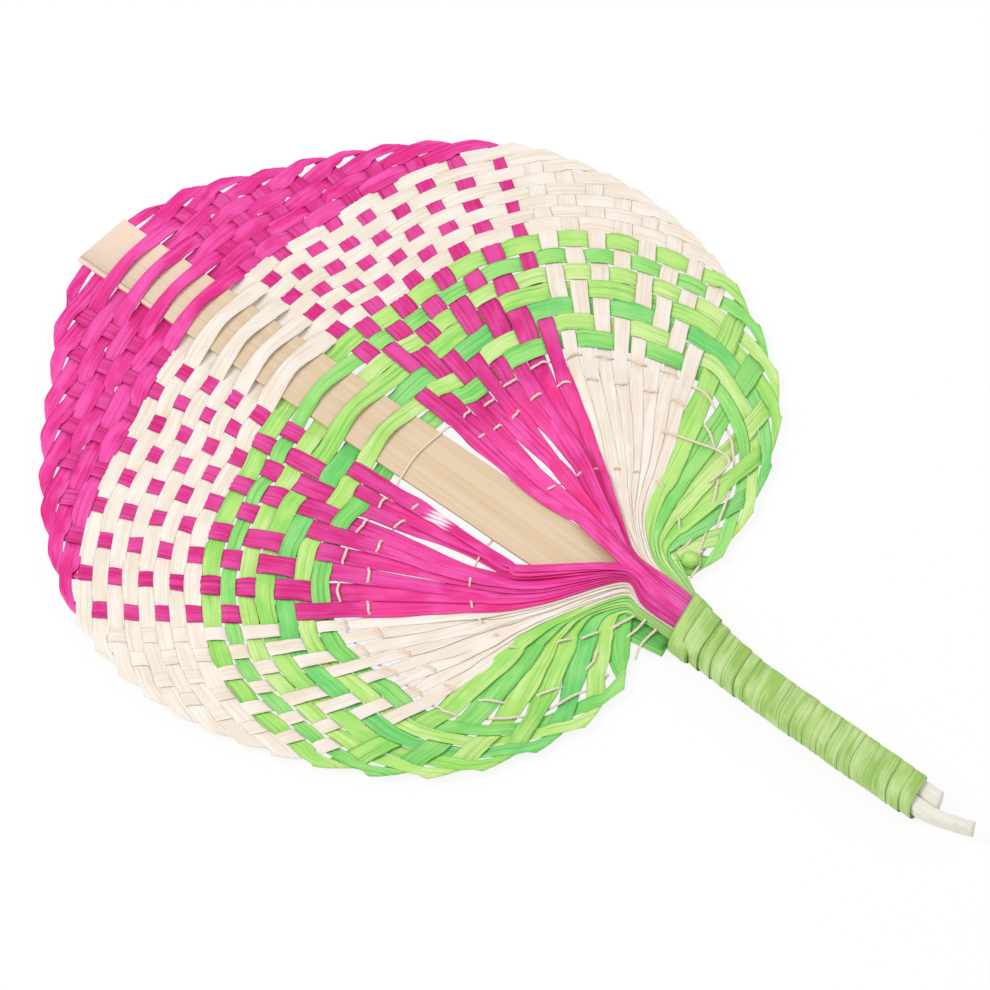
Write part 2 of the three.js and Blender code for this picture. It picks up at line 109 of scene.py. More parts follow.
def smooth(share):
    """The S-shaped step: 3 s squared minus 2 s cubed, held at 0 and 1 outside."""
    share = np.clip(share, 0.0, 1.0)
    return share * share * (3.0 - 2.0 * share)


def bell(at, middle, width):
    """The bell curve: one at the middle, e to the minus one a width beside it."""
    return np.exp(-(((at - middle) / width) ** 2))


def unit(vectors):
    """Vectors of length one."""
    return vectors / np.maximum(np.linalg.norm(vectors, axis=-1, keepdims=True), 1e-9)


def turned(ways):
    """Vectors in plan, turned a quarter to the left."""
    return ways[..., ::-1] * np.array((-1.0, 1.0))


def cubic_blend(p, share):
    """The cubic through the second and third of four points, with slopes from their neighbours."""
    rise = p[2] - p[0]
    bend = 2 * p[0] - 5 * p[1] + 4 * p[2] - p[3]
    twist = 3 * p[1] - p[0] - 3 * p[2] + p[3]
    return p[1] + 0.5 * share * (rise + share * (bend + share * twist))


def cubic(points, at):
    """The smooth curve through numbered points, at fractional numbers."""
    last = len(points) - 1
    first = np.clip(np.floor(at).astype(int), 0, last - 1)
    share = (at - first)[..., None]
    return cubic_blend([points[np.clip(first + n, 0, last)] for n in (-1, 0, 1, 2)], share)


def eased(at, knots, values, sharp):
    """Steps from knot to knot: flat near each knot and steepest half-way."""
    i = np.clip(np.searchsorted(knots, at, side="right") - 1, 0, len(knots) - 2)
    share = (at - knots[i]) / (knots[i + 1] - knots[i])
    return values[i] + (values[i + 1] - values[i]) * smooth((share - 0.5) * sharp + 0.5)


def waver(rng, at, wavelength):
    """A smooth uneven line about zero: four sines of drawn phases, each shorter and smaller than the last."""
    total = np.zeros_like(at, dtype=float)
    for octave in range(4):
        phase = rng.uniform(0, 2 * math.pi)
        total += np.sin(2 * math.pi * at * 1.7**octave / wavelength + phase) * 0.6**octave
    return total / 2.0


def slat_half(y):
    """Half the slat's width: it flares a little from the neck to the tip."""
    return SLAT_WIDTH / 2 + SLAT_FLARE / 2 * np.clip((y - NECK_TOP) / (SLAT_TIP - NECK_TOP), 0, 1)


AXIS_Y = np.array((-184.0, -163.0, -136.0, -100.0, -92.0, -84.0, -76.0, -69.0, -62.0, -50.0, -36.0))
AXIS_X = np.array((-1.4, -1.75, -1.8, -1.5, -1.15, -0.5, 0.5, 1.5, 2.35, 4.2, 5.0))


def axis_x(y):
    """Where the neck and the handle run: a little to the right of the blade's middle at the neck, then back."""
    return np.interp(y, AXIS_Y, AXIS_X)


def to_frame(points):
    """Millimetres of the blade to metres of the frame: the blade leans to the left above the neck."""
    x, y, z = points[..., 0], points[..., 1], points[..., 2]
    x = x + LEAN * np.maximum(0, y - NECK_TOP)
    return np.stack([x, y, z], -1) / MM + BLADE_ORIGIN


def blade_origin():
    """The middle of the blade's length in the frame: on the collar's middle and the slat's middle plane."""
    slat_low, slat_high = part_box("spine_slat")
    collar_low, collar_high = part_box("collar_band")
    return np.array((
        (collar_low.x + collar_high.x) / 2,
        slat_high.y - SLAT_TIP / MM,
        (slat_low.z + slat_high.z) / 2,
    ))


BLADE_ORIGIN = blade_origin()


def arc_over(k, j):
    """Plus one where crossing strip j passes over strip k, minus one where it passes under; k -1 is the slat."""
    if k < 0:
        return 1 if j > 0 and j % 2 == 0 else -1
    if j < TWILL_FROM or j >= THREAD_ARC:
        return 1 if (k + j) % 2 else -1
    return -1 if (j - k) % 4 in (2, 3) else 1


class HalfLattice:
    """Where the strips of one half of the blade meet, seen on the right-hand side.

    Strip k leaves its fold on the rim and runs to its bend at the neck, straight on the right and in a low
    parabola on the left. Crossing strip j meets it one pitch further in than crossing strip j - 1. Between
    strips, a crossing strip follows the cubic through the meeting points.
    """

    def __init__(self, side):
        angle = FOLDS - side * FOLD_SKEW * np.sin(np.radians(FOLDS))
        lobe = smooth((angle - LOBE_ANGLES[0]) / (LOBE_ANGLES[1] - LOBE_ANGLES[0]))
        radius = np.interp(angle, RIM_ANGLES, RIM_RADII) * (1 - side * LOBE_UNEVEN * lobe)
        radius = radius + np.interp(angle, RIM_ANGLES, RIM_DRAWN[side])
        turn = np.radians(angle)
        folds = np.stack([radius * np.sin(turn), RIM_CENTRE + radius * np.cos(turn)], -1)
        bend = np.radians(BENDS)
        inner = SLAT_WIDTH / 2 + STRIP_ROOM / 2 + SHOULDER_GAP - SHOULDER_WIDE * np.cos(bend[0])
        high = np.where(bend > 0, SHOULDER_HIGH, SHOULDER_LOW)
        self.bends = np.stack([inner + SHOULDER_WIDE * np.cos(bend), SHOULDER_Y + high * np.sin(bend)], -1)
        ways = unit(self.bends - folds)
        mirror = np.array((-1.0, 1.0))
        spine = np.array((0.0, SLAT_TIP - TIP_BARE))
        down = np.array((0.0, -1.0))
        past = [2 * folds[-1] - folds[-2], 3 * folds[-1] - 2 * folds[-2]]
        past_ways = [unit(2 * ways[-1] - ways[-2]), unit(3 * ways[-1] - 2 * ways[-2])]
        self.starts = np.array([folds[0] * mirror, spine, *folds, *past])
        self.ways = np.array([ways[0] * mirror, down, *ways, *past_ways])
        numbers = np.array([0, -1, *range(COUNT + 2)], float)
        closing = smooth((numbers / (COUNT - 1) - LOBE_SHARES[0]) / (LOBE_SHARES[1] - LOBE_SHARES[0]))
        self.loose = LOOSE_PITCH + (LOBE_PITCH - LOOSE_PITCH) * closing
        if side < 0:
            self.loose = self.loose * (1 - LEFT_CLOSE * smooth((numbers + 1) / 5) * smooth((15 - numbers) / 6))
        self.tight = ARC_PITCH * (1 - RIGHT_CLOSE * smooth((numbers - 3) / 5) * (side > 0))
        self.zero = self.depth(np.arange(len(numbers)), np.maximum(numbers, 0), 0.0)
        self.folds = folds
        self.side = side
        bow = np.interp(np.arange(COUNT), *LEFT_BOW) * (side < 0)
        self.bow = np.array([0.0, 0.0, *bow, 0.0, 0.0])
        self.reach = np.array([1.0, 1.0, *np.linalg.norm(self.bends - folds, axis=-1), 1.0, 1.0])

    def depth(self, row, arc, zero=None):
        """How far in from the fold crossing strip number arc meets the strip in that row."""
        tight = self.tight[row] * np.minimum(arc, LAST_TIGHT)
        loose = self.loose[row] * np.maximum(arc - LAST_TIGHT, 0)
        return tight + loose - (self.zero[row] if zero is None else zero)

    def meeting(self, strip, arc):
        """The meeting point of a whole-numbered strip and any crossing number."""
        row = np.clip(strip + 2, 0, len(self.starts) - 1)
        depth = self.depth(row, arc)
        share = np.clip(depth / self.reach[row], 0, 1)
        aside = (self.bow[row] * 4 * share * (1 - share))[..., None]
        way = self.ways[row]
        return self.starts[row] + way * depth[..., None] + turned(way) * aside

    def place(self, strip, arc):
        """The point of the blade at any strip number and any crossing number."""
        strip, arc = np.broadcast_arrays(np.asarray(strip, float), np.asarray(arc, float))
        first = np.floor(strip).astype(int)
        share = (strip - first)[..., None]
        return cubic_blend([self.meeting(first + n, arc) for n in (-1, 0, 1, 2)], share)

    def slat_edge(self, arc, room=0.35):
        """The strip number at which a crossing leaves the slat."""
        strip = np.linspace(-1, 0, 41)
        at = self.place(strip, np.full(41, float(arc)))
        return float(np.interp(slat_half(at[0, 1]) + room, at[:, 0], strip))


LATTICE = {1: HalfLattice(1), -1: HalfLattice(-1)}
MIRROR = np.array((-1.0, 1.0, 1.0))


def flat(points, height):
    """Points in plan lifted to heights."""
    return np.concatenate([points, np.broadcast_to(height, points.shape[:-1])[..., None]], -1)


ARC_STOP, RADIAL_START = 0.52, 0.62  # where the flat of a strip ends before its fold and starts after it
STEP = 0.1  # of a crossing, between two stations of a strip
SHARP, THREAD_SHARP = 1.45, 1.6  # how much steeper than an even S a strip and a thread rise between crossings
# Crossing strips that leave gaps beside them, right and left: number and share of their width
NARROW = {
    1: {17: 0.95, 18: 0.84, 19: 0.89, 22: 0.93},
    -1: {17: 0.97, 18: 0.78, 19: 0.9, 22: 0.94},
}
SLIM_STRIP, SLIM = 8, 0.7  # a strip that is slimmer than the others on the right
NICKED_STRIPS, NICKED_SHARE, NICK = 8, 0.36, 0.33  # strips at the tip with small nicks, how many and how deep
FOLD_PULL = {1: 2.6, -1: 4.0}  # weight of the crease in the curve of a fold
FOLD_STATIONS, FOLD_SWELL = 18, 0.45
CREASE_LEAN = {1: (0.4, 0.4, 0.6), -1: (0.5, 1.0, 0.95)}  # of the creases out of the rim's line, by colour

# How the strips of the three colours differ in the weave
LIFT = (0.9, 0.36, 0.85)  # height of the crossings, as a share of the weave height
TIGHT_COVER = (1.0, 0.94, 1.0)  # share of the cover
SWAY = (0.05, 0.045, 0.06)  # sideways, in crossings
WIDER_ON_SLAT, WIDER_ON_TOP, WIDER_AT_FOLD = (-0.04, 0.1, 0.0), (0.09, 0.0, 0.03), (-0.14, 0.06, 0.1)
FOLD_SWING = (0.08, 0.06, 0.1)  # towards the tip before the fold, in crossings
TILT = (0.12, 0.07, 0.1)  # of the outer edge upwards, in millimetres
BOW = (0.5, 0.06, 0.3)  # up and down at the crossings, as a share of the crown
LOW_WIDENS, LOW_CLOSES = 0.25, 0.13  # how much wider the pink strips are in the green rows, and their cover there
BELOW_FOLD = {1: (1.0, 1.0, 1.38), -1: (1.0, 0.92, 1.38)}  # share of the width below the fold


def arc_part(lattice, j, weave, rng):
    """Strip j from the middle of the slat to its fold. It is a little wider than its pitch and lies with its
    outer edge on its neighbour, it bows up over the crossings and over the slat, and it is narrower before its
    fold, which leaves a slit inside the rim."""
    group = GROUP_OF[j]
    height = weave.weave_height * MM * LIFT[group]
    over = SLAT_FACE + weave.thickness * MM / 2 + 0.2
    stop = j - ARC_STOP
    edge = lattice.slat_edge(j)
    strip = np.linspace(-1, stop, max(12, int((stop + 1) / STEP)))
    side = arc_over(-1, j)
    knots = np.array([-1.0, edge, *range(j), j])
    heights = np.array([side * over, side * over, *[arc_over(k, j) * height for k in range(j)], height])
    z = eased(strip, knots, heights, SHARP)
    top = smooth(z / height * 0.6 + 0.4)
    on_slat = np.clip((strip + 1) / (edge + 1), 0, 1)
    bridge = (1 - on_slat**2) ** 2 if side > 0 else np.zeros_like(strip)
    z = z + weave.slat_bulge * MM * bridge
    cover = weave.loose_cover if j > LAST_TIGHT else weave.arc_cover * TIGHT_COVER[group]
    cover = cover * NARROW[lattice.side].get(j, 1.0)
    free = smooth((strip + 0.6) / 1.2)
    sway = SWAY[group] * waver(rng, strip, 4.0) * free
    half = cover / 2 * (1 + 0.05 * waver(rng, strip, 3.0))
    half = half * (1 + WIDER_ON_TOP[group] * top * free - 0.16 * bridge + WIDER_ON_SLAT[group] * (1 - free))
    near = strip - j
    swing = bell(near, -0.85, 0.42) * FOLD_SWING[group] * rng.uniform(0.7, 1.1)
    slack = rng.uniform(0.5, 1.2)
    slack = (0.32 * slack, 0.05 + 0.9 * max(slack - 0.95, 0), 0.16 * slack)[group]
    slit = smooth((near + 1.1) / 0.2) * smooth((-0.25 - near) / 0.2) * slack
    if j < NICKED_STRIPS:
        nicked = np.random.default_rng((NICK_SEED, j, lattice.side + 1)).random(j + 2) < NICKED_SHARE
        nicked[0] = False
        slit = slit + NICK * nicked[np.floor(strip).astype(int) + 1] * bell(strip % 1, 0.5, 0.13)
    tilt = TILT[group] * (1 + 0.4 * waver(rng, strip, 2.5))
    a = flat(lattice.place(strip, j - half + sway - swing), z + tilt)
    b = flat(lattice.place(strip, j + half + sway - swing - slit), z - tilt)
    bow = np.clip(z / height, -1, 1.2) * (0.75 + 0.35 * waver(rng, strip, 2.1)) * BOW[group]
    return a, b, (bow + 1.1 * bridge) * weave.crown * MM, np.zeros_like(z)


def fold_part(lattice, j, weave, last, first):
    """The fold at the rim. Each edge follows a conic from the end of the flat before the fold to the start of the
    flat after it, drawn hard towards its end of the crease; the height falls as a cosine from front to back."""
    at = lattice.folds[j]
    before = lattice.place(np.array([j - 0.5]), np.array([float(j)]))[0]
    come, leave = unit(at - before), lattice.ways[j + 2]
    turn = math.acos(float(np.clip(come @ leave, -1, 1)))
    pitch = ARC_PITCH if j < LAST_TIGHT else lattice.loose[j + 2]
    rim = unit(lattice.starts[j + 3] - lattice.starts[max(j + 1, 2)])
    lean = CREASE_LEAN[lattice.side][GROUP_OF[j]]
    reach = weave.fold_cover * pitch / 2 / math.sin(turn / 2)
    crease = unit(unit(come + leave) * lean + rim * (1 - lean)) * reach
    out = unit(come - leave) * weave.fold_push * MM
    t = np.linspace(0, 1, FOLD_STATIONS)[1:-1, None]
    edges = []
    for sign, start, end in ((-1, last[0], first[0]), (1, last[1], first[1])):
        corner = at + out + sign * crease
        pull = 2 * FOLD_PULL[lattice.side] * t * (1 - t)
        plan = ((1 - t) ** 2 * start[:2] + pull * corner + t**2 * end[:2]) / ((1 - t) ** 2 + pull + t**2)
        swing = (1 + np.cos(math.pi * t)) / 2
        edges.append(np.concatenate([plan, end[2] + (start[2] - end[2]) * swing], -1))
    return edges[0], edges[1], np.zeros(len(t)), FOLD_SWELL * np.sin(math.pi * t[:, 0])


def radial_part(lattice, k, weave, rng):
    """Strip k from its fold down through the crossing strips. It is as wide as its neighbours let it be."""
    group = GROUP_OF[k]
    height = weave.weave_height * MM
    lift = np.array(LIFT)[GROUP_OF] * height
    arc = np.linspace(k + RADIAL_START, THREAD_ARC, max(6, int((THREAD_ARC - k - RADIAL_START) / STEP)))
    knots = np.array([float(k), *range(k + 1, THREAD_ARC + 1)])
    crossings = [-arc_over(k, j) * lift[j] for j in range(k + 1, THREAD_ARC)]
    heights = np.array([-lift[k], *crossings, -arc_over(k, THREAD_ARC) * height * 0.6])
    z = eased(arc, knots, heights, SHARP)
    here = lattice.place(np.full_like(arc, float(k)), arc)
    near_fold = 1 - smooth((arc - k - RADIAL_START) / 1.2)
    low = smooth((arc - 14) / 6)
    spread = (1 + WIDER_AT_FOLD[group] * near_fold) * BELOW_FOLD[lattice.side][group]
    if k == SLIM_STRIP and lattice.side > 0:
        spread = spread * SLIM
    if group == PINK and k > 0:
        spread = spread * (1 + LOW_WIDENS * low)
    cover = weave.radial_cover + (LOW_CLOSES * low, 0.0, 0.06)[group]
    wide = weave.radial_width * MM * spread * (1 + 0.1 * waver(rng, arc, 5.0))
    sway = 0.035 * waver(rng, arc, 6.0) * smooth((arc - k) / 3)
    edges = []
    for way in (-1, 1):
        gap = np.linalg.norm(lattice.place(np.full_like(arc, k + float(way)), arc) - here, axis=-1)
        half = np.minimum(cover * np.minimum(spread, 1), wide / gap) / 2
        edges.append(flat(lattice.place(k + way * half + sway, arc), z))
    a, b = edges
    return a, b, z / height * weave.crown * MM / 5, np.zeros_like(z)


# Bends of the strips above the neck, right and left: strip number, distance from the middle, height
BEND_KEYS = {
    1: ((0, 13.4, -12), (8, 20.0, -20.3), (16, 25.0, -26), (17, 24.6, -30), (20, 21.5, -38), (23, 19.0, -45)),
    -1: ((0, 15.6, -9.5), (8, 24.5, -19.5), (16, 27.5, -26.5), (17, 27, -28), (20, 17, -34), (23, 7, -46)),
}
# The same where they turn down into the neck, half-way down it, and at the collar
TURN_KEYS = {
    1: ((0, 7.9, -37), (8, 9.5, -38), (9, 10.4, -38.4), (16, 13.4, -41), (17, 14.0, -41.6), (23, 18.2, -48)),
    -1: ((0, -5.2, -37.4), (8, -2.6, -39.4), (9, -1.9, -39.8), (16, 0.7, -41.8), (17, 1.2, -42.2), (23, 4.8, -47)),
}
NECK_KEYS = {
    1: ((0, 5.6, -52), (8, 8.8, -52), (9, 9.1, -52), (16, 9.9, -52), (17, 10.6, -52), (23, 15.4, -53)),
    -1: ((0, -3.6, -52), (8, 0.0, -52), (9, 0.3, -52), (16, 0.9, -52), (17, 1.1, -52), (23, 3.8, -53)),
}
COLLAR_KEYS = {
    1: ((0, 5.2, -63), (8, 8.0, -63), (16, 8.4, -63), (17, 8.6, -63), (23, 10.2, -63)),
    -1: ((0, -3.2, -64), (8, -0.2, -64), (16, 0.5, -64), (17, 0.8, -64), (23, 3.2, -64)),
}
# The free way counts from 0 at the last crossing to the bend, the turn, half-way down the neck, the collar, the end
BEND_AT, TURN_AT, NECK_AT, COLLAR_AT, END_AT = 3, 4, 5, 6, 7
FREE_STATIONS = 84
DECK_STEP = 0.205  # in height, from strip to strip in the neck
# The first strips beside the slat, right and left: how far they sway away from it, and their share of the
# width, which leaves long slits between them
FIRST_SWAY = {
    1: (-2.6, -0.7, -2.4, 2.6, 0.1, 3.8, 1.4),
    -1: (0.5, -0.5, -2.0, 2.2, 1.0, 0.2, 1.2),
}
FIRST_WIDTH = {
    1: (0.72, 1.05, 0.85, 0.85, 0.85, 0.85, 1.1),
    -1: (0.75, 1.1, 0.85, 0.85, 1.0, 0.85, 0.85),
}
FIRST = len(FIRST_SWAY[1])
# By colour: share of the width of the other free strips, widths where they leave the weave, at the turn and in
# the neck, how much each lies higher than the one under it, and the sine of its slope at the turn
FREE_WIDTH, LEAVE_WIDTH = (1.1, 1.06, 1.4), (6.3, 5.3, 8.3)
TURN_WIDTH, NECK_WIDTH = (4.2, 4.0, 5.2), (4.0, 3.3, 4.6)
SHINGLE, TURN_SINE = (0.45, 0.24, 0.42), (0.42, 0.3, 0.22)
# Number by which each strip is placed in the neck: there some lie close together
BUNCHED = {
    1: (0, 0.4, 1.2, 3.0, 3.3, 5.0, 5.2, 7.6, 8, 9, 9.4, 11.0, 11.3, 13.2, 13.5, 15.6, 16, *range(17, COUNT)),
    -1: (0, 0.3, 2.7, 2.9, 3.3, 5.6, 5.8, 7.7, 8, 9, 9.2, 11.4, 11.6, 11.9, 14.3, 14.6, 16, *range(17, COUNT)),
}


def by_strip(keys, k=np.arange(COUNT)):
    """A plan point for every strip, between the given ones."""
    number, x, y = np.array(keys, float).T
    return np.stack([np.interp(k, number, x), np.interp(k, number, y)], -1)


def free_ways(side):
    """The free ways of all strips of one side in plan: smooth curves from the last crossing over the bend and
    the turn to the collar, each swayed a little sideways on its first half."""
    lattice = LATTICE[side]
    k = np.arange(COUNT)
    start = lattice.meeting(k, np.full(COUNT, float(THREAD_ARC)))
    bend = by_strip(BEND_KEYS[side])
    collar = by_strip(COLLAR_KEYS[side], BUNCHED[side])
    end = np.stack([collar[:, 0] - side * 0.7, np.full(COUNT, COLLAR_TOP - COLLAR_LENGTH)], -1)
    across = turned(unit(bend - start))
    rng = np.random.default_rng((NECK_SEED, side + 1))
    sway = rng.normal(0, 0.5, COUNT)
    sway[:FIRST] = FIRST_SWAY[side]
    bow = across * sway[:, None]
    strand = np.stack([rng.normal(0, 0.3, COUNT), np.zeros(COUNT)], -1)
    crowd = rng.normal(0, 0.4, (COUNT, 2))
    turn = by_strip(TURN_KEYS[side], BUNCHED[side]) + crowd * 0.5
    soft = np.select([k < 3, GROUP_OF < GREEN], [0.0, 0.6], 1.0)[:, None]
    keys = [
        lattice.meeting(k, np.full(COUNT, THREAD_ARC - 1.0)),
        start,
        start + (bend - start) * 0.34 + bow * 0.6,
        start + (bend - start) * 0.68 + bow * 1.15,
        start + (bend - start) * (0.93 - 0.11 * soft) + bow * (0.75 if side > 0 else 0.45),
        bend + (turn - bend) * (0.1 + 0.15 * soft) + bow * 0.3,
        turn,
        by_strip(NECK_KEYS[side], BUNCHED[side]) + strand,
        collar + strand,
        end,
    ]
    at = np.linspace(0, END_AT, FREE_STATIONS)
    number = np.interp(at, (0, 1, 2, 2.75, 3.2, TURN_AT, NECK_AT, COLLAR_AT, END_AT), np.arange(1, len(keys)))
    return np.stack([cubic(np.stack([key[n] for key in keys]), number) for n in k]), at


FREE = {side: free_ways(side) for side in (1, -1)}


def free_part(side, k, last, weave, rng):
    """Strip k from the last crossing to the collar. It lies over its outer neighbour like a tile, stands almost
    on edge at the turn, and in the neck the strips lie on each other like a deck of cards. Its first stretch
    carries on from the last edges of the weave."""
    plan, at = FREE[side]
    way = plan[k]
    along = unit(np.gradient(way, axis=0))
    across = turned(along)
    before, after = plan[max(k - 1, 0)], plan[min(k + 1, COUNT - 1)]
    spacing = np.abs(((after - before) * across).sum(-1)) / (2 if 0 < k < COUNT - 1 else 1)
    group = GROUP_OF[k]
    full = weave.free_width * MM * (FIRST_WIDTH[side][k] if k < FIRST else FREE_WIDTH[group])
    start = float(np.linalg.norm(last[1] - last[0]))
    neck = NECK_WIDTH[group]
    widths = (start, LEAVE_WIDTH[group], full, full, full * 0.85, TURN_WIDTH[group], neck, neck)
    width = np.interp(at, (0, 0.5, 1.2, 2, BEND_AT, TURN_AT, NECK_AT, END_AT), widths)
    width = width * (1 + 0.14 * waver(rng, at, 3.0) * smooth(at) * smooth((NECK_AT - at) / 2))
    tile = np.clip(SHINGLE[group] / np.maximum(spacing, 0.05), 0, 0.8)
    sines = (tile[np.searchsorted(at, BEND_AT)], TURN_SINE[group], 0.3, 0.15)
    sine = np.where(at < BEND_AT, tile, np.interp(at, (BEND_AT, TURN_AT, NECK_AT, COLLAR_AT), sines))
    deck = SLAT_FACE + 0.4 + (COUNT - 1 - k) * DECK_STEP + 0.08 * side
    low = 0.15 + (1.0 * smooth(at / 1.6) if k == 0 else 0.6 * smooth(at / 3.0))
    in_neck = smooth((at - 2.8) / 1.6)
    z = (low + width / 2 * sine) * (1 - in_neck) + deck * in_neck
    cosine = np.sqrt(1 - sine**2)
    rise = np.concatenate([across * cosine[:, None], sine[:, None]], -1)
    middle = flat(way, z)
    wide = rise * width[:, None]
    join = 1 - smooth(at / (0.8 if k < 21 else 1.3))[:, None]
    middle = middle + ((last[0] + last[1]) / 2 - middle[0]) * join
    wide = wide + (last[1] - last[0] - wide) * join
    crown = (0.1 + 0.14 * waver(rng, at, 2.5)) * smooth(at / 0.8) * smooth((NECK_AT - at) / 2)
    crown = crown + 0.3 * smooth((at - 3.6) / 1.0) * smooth((6.5 - at) / 1.5)
    return middle - wide / 2, middle + wide / 2, crown, np.zeros_like(z)


def evened(line, first, last, rounds):
    """A line with the stretch between two stations drawn smooth: each point half-way to its neighbours' mean."""
    line = line.copy()
    for _ in range(rounds):
        line[first:last] = line[first:last] / 2 + (line[first - 1:last - 1] + line[first + 1:last + 1]) / 4
    return line


EVENED = {COUNT - 2: 30, COUNT - 1: 160}  # rounds for the last strips, which turn hard in the lobes
ON_ARC, ON_FOLD, ON_RADIAL = -3.0, -2.0, -1.0  # marks of the stations before the free way, which counts from 0


def half_strip(side, j, weave, rng):
    """Half of strip j on the right-hand side, from the slat over the fold to the collar."""
    lattice = LATTICE[side]
    arc = arc_part(lattice, j, weave, rng)
    radial = radial_part(lattice, j, weave, rng)
    fold = fold_part(lattice, j, weave, (arc[0][-1], arc[1][-1]), (radial[0][0], radial[1][0]))
    free = [line[1:] for line in free_part(side, j, (radial[0][-1], radial[1][-1]), weave, rng)]
    lines = [np.concatenate(line) for line in zip(arc, fold, radial, free)]
    if j in EVENED:
        first = len(arc[0]) + 4
        last = first + len(fold[0]) + len(radial[0]) + 14
        lines[:2] = [evened(line, first, last, EVENED[j]) for line in lines[:2]]
    before = [np.full(len(part[0]), mark) for part, mark in ((arc, ON_ARC), (fold, ON_FOLD), (radial, ON_RADIAL))]
    at = np.concatenate([*before, FREE[side][1][1:]])
    return [*lines, at]


# Places across a strip from edge to edge, and once round it
ACROSS = np.concatenate([(-1.0, -0.93), np.linspace(-0.8, 0.8, 9), (0.93, 1.0)])
PLACES = np.concatenate([ACROSS, ACROSS[-2:0:-1]])


def length_along(path):
    """The length along a path at each of its points."""
    return np.concatenate([[0], np.cumsum(np.linalg.norm(np.diff(path, axis=0), axis=-1))])


def ribbon(a, b, crown, thickness, ridges, swell=0.0):
    """A thin closed strip between two edge lines.

    Across it runs from edge to edge, bowed upwards by the crown as one minus v squared and off its own face by
    the swell in the same way, with fine lengthwise ridges. The faces stand off by half the thickness, which
    goes to nothing at the two edges. Returns the rings of points and their places along and across, in
    millimetres.
    """
    v = ACROSS
    middle = (a + b) / 2
    along = unit(np.gradient(middle, axis=0))
    wide = b - a
    face = unit(np.cross(along, wide))
    up = face[:, 2:3]
    ridges = np.where(np.abs(v) < 0.9, ridges, 0)
    bow = (crown[:, None] * up + np.broadcast_to(swell, len(a))[:, None]) * (1 - v**2) + ridges * np.sign(up)
    skin = thickness / 2 * np.sqrt(1 - v**4)
    centre = middle[:, None] + wide[:, None] * v[None, :, None] / 2
    front = centre + face[:, None] * (bow + skin)[..., None]
    back = centre + face[:, None] * (bow - skin)[..., None]
    rings = np.concatenate([front, back[:, -2:0:-1]], 1)
    length = length_along(middle)
    half = np.linalg.norm(wide, axis=-1) / 2
    uv = np.stack(np.broadcast_arrays(length[:, None], half[:, None] * PLACES), -1)
    return rings, uv


def lofted(name, *parts):
    """A mesh object through rings of equal count with flat ends. Each part gives rings, places along and across
    in millimetres for the UV map, and named values for the finish, nought where a part doesn't name them."""
    points, faces, places, base = [], [], [], 0
    marks = {key: [] for part in parts for key in part[2]}
    for rings, uv, values in parts:
        rows, count = rings.shape[:2]
        row, col = np.meshgrid(np.arange(rows - 1), np.arange(count), indexing="ij")
        here, beside = row * count + col, row * count + (col + 1) % count
        faces += (np.stack([here, here + count, beside + count, beside], -1).reshape(-1, 4) + base).tolist()
        faces.append(list(range(base, base + count)))
        faces.append(list(range(base + (rows - 1) * count, base + rows * count))[::-1])
        points.append(to_frame(rings).reshape(-1, 3))
        places.append(uv.reshape(-1, 2))
        for key, joined in marks.items():
            joined.append(np.broadcast_to(values.get(key, 0.0), (rows, count)).ravel())
        base += rows * count
    mesh = bpy.data.meshes.new(name)
    mesh.from_pydata(np.concatenate(points), [], faces)
    corners = np.zeros(len(mesh.loops), np.int32)
    mesh.loops.foreach_get("vertex_index", corners)
    layer = mesh.uv_layers.new(name="length")
    layer.uv.foreach_set("vector", np.concatenate(places)[corners].astype(np.float32).ravel())
    for key, values in marks.items():
        attribute = mesh.attributes.new(key, "FLOAT", "POINT")
        attribute.data.foreach_set("value", np.concatenate(values).astype(np.float32))
    mesh.polygons.foreach_set("use_smooth", np.ones(len(mesh.polygons), bool))
    mesh.update()
    piece = bpy.data.objects.new(name, mesh)
    bpy.context.scene.collection.objects.link(piece)
    return piece


def seat(piece, material, slot, *nodes):
    """Gives a piece its finish and its body, and hides the solids that it stands for."""
    piece.data.materials.append(material)
    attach(piece, "root")
    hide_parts(*nodes)


# Finishes


def tint(code):
    """A colour code as linear light."""
    parts = [int(code[n:n + 2], 16) / 255 for n in (1, 3, 5)]
    return tuple(c / 12.92 if c <= 0.04045 else ((c + 0.055) / 1.055) ** 2.4 for c in parts)


class Nodes:
    """Makes the nodes of one tree. Inputs are named or numbered and take a value or a link."""

    def __init__(self, tree):
        self.tree = tree

    def node(self, kind, inputs=None, **settings):
        made = self.tree.nodes.new(kind)
        for name, value in settings.items():
            setattr(made, name, value)
        for key, value in (inputs or {}).items():
            self.feed(made.inputs[key], value)
        return made

    def feed(self, socket, value):
        if isinstance(value, bpy.types.NodeSocket):
            self.tree.links.new(value, socket)
        else:
            socket.default_value = value

    def math(self, operation, a, b):
        return self.node("ShaderNodeMath", {0: a, 1: b}, operation=operation).outputs[0]

    def times(self, a, b):
        return self.math("MULTIPLY", a, b)

    def plus(self, a, b):
        return self.math("ADD", a, b)


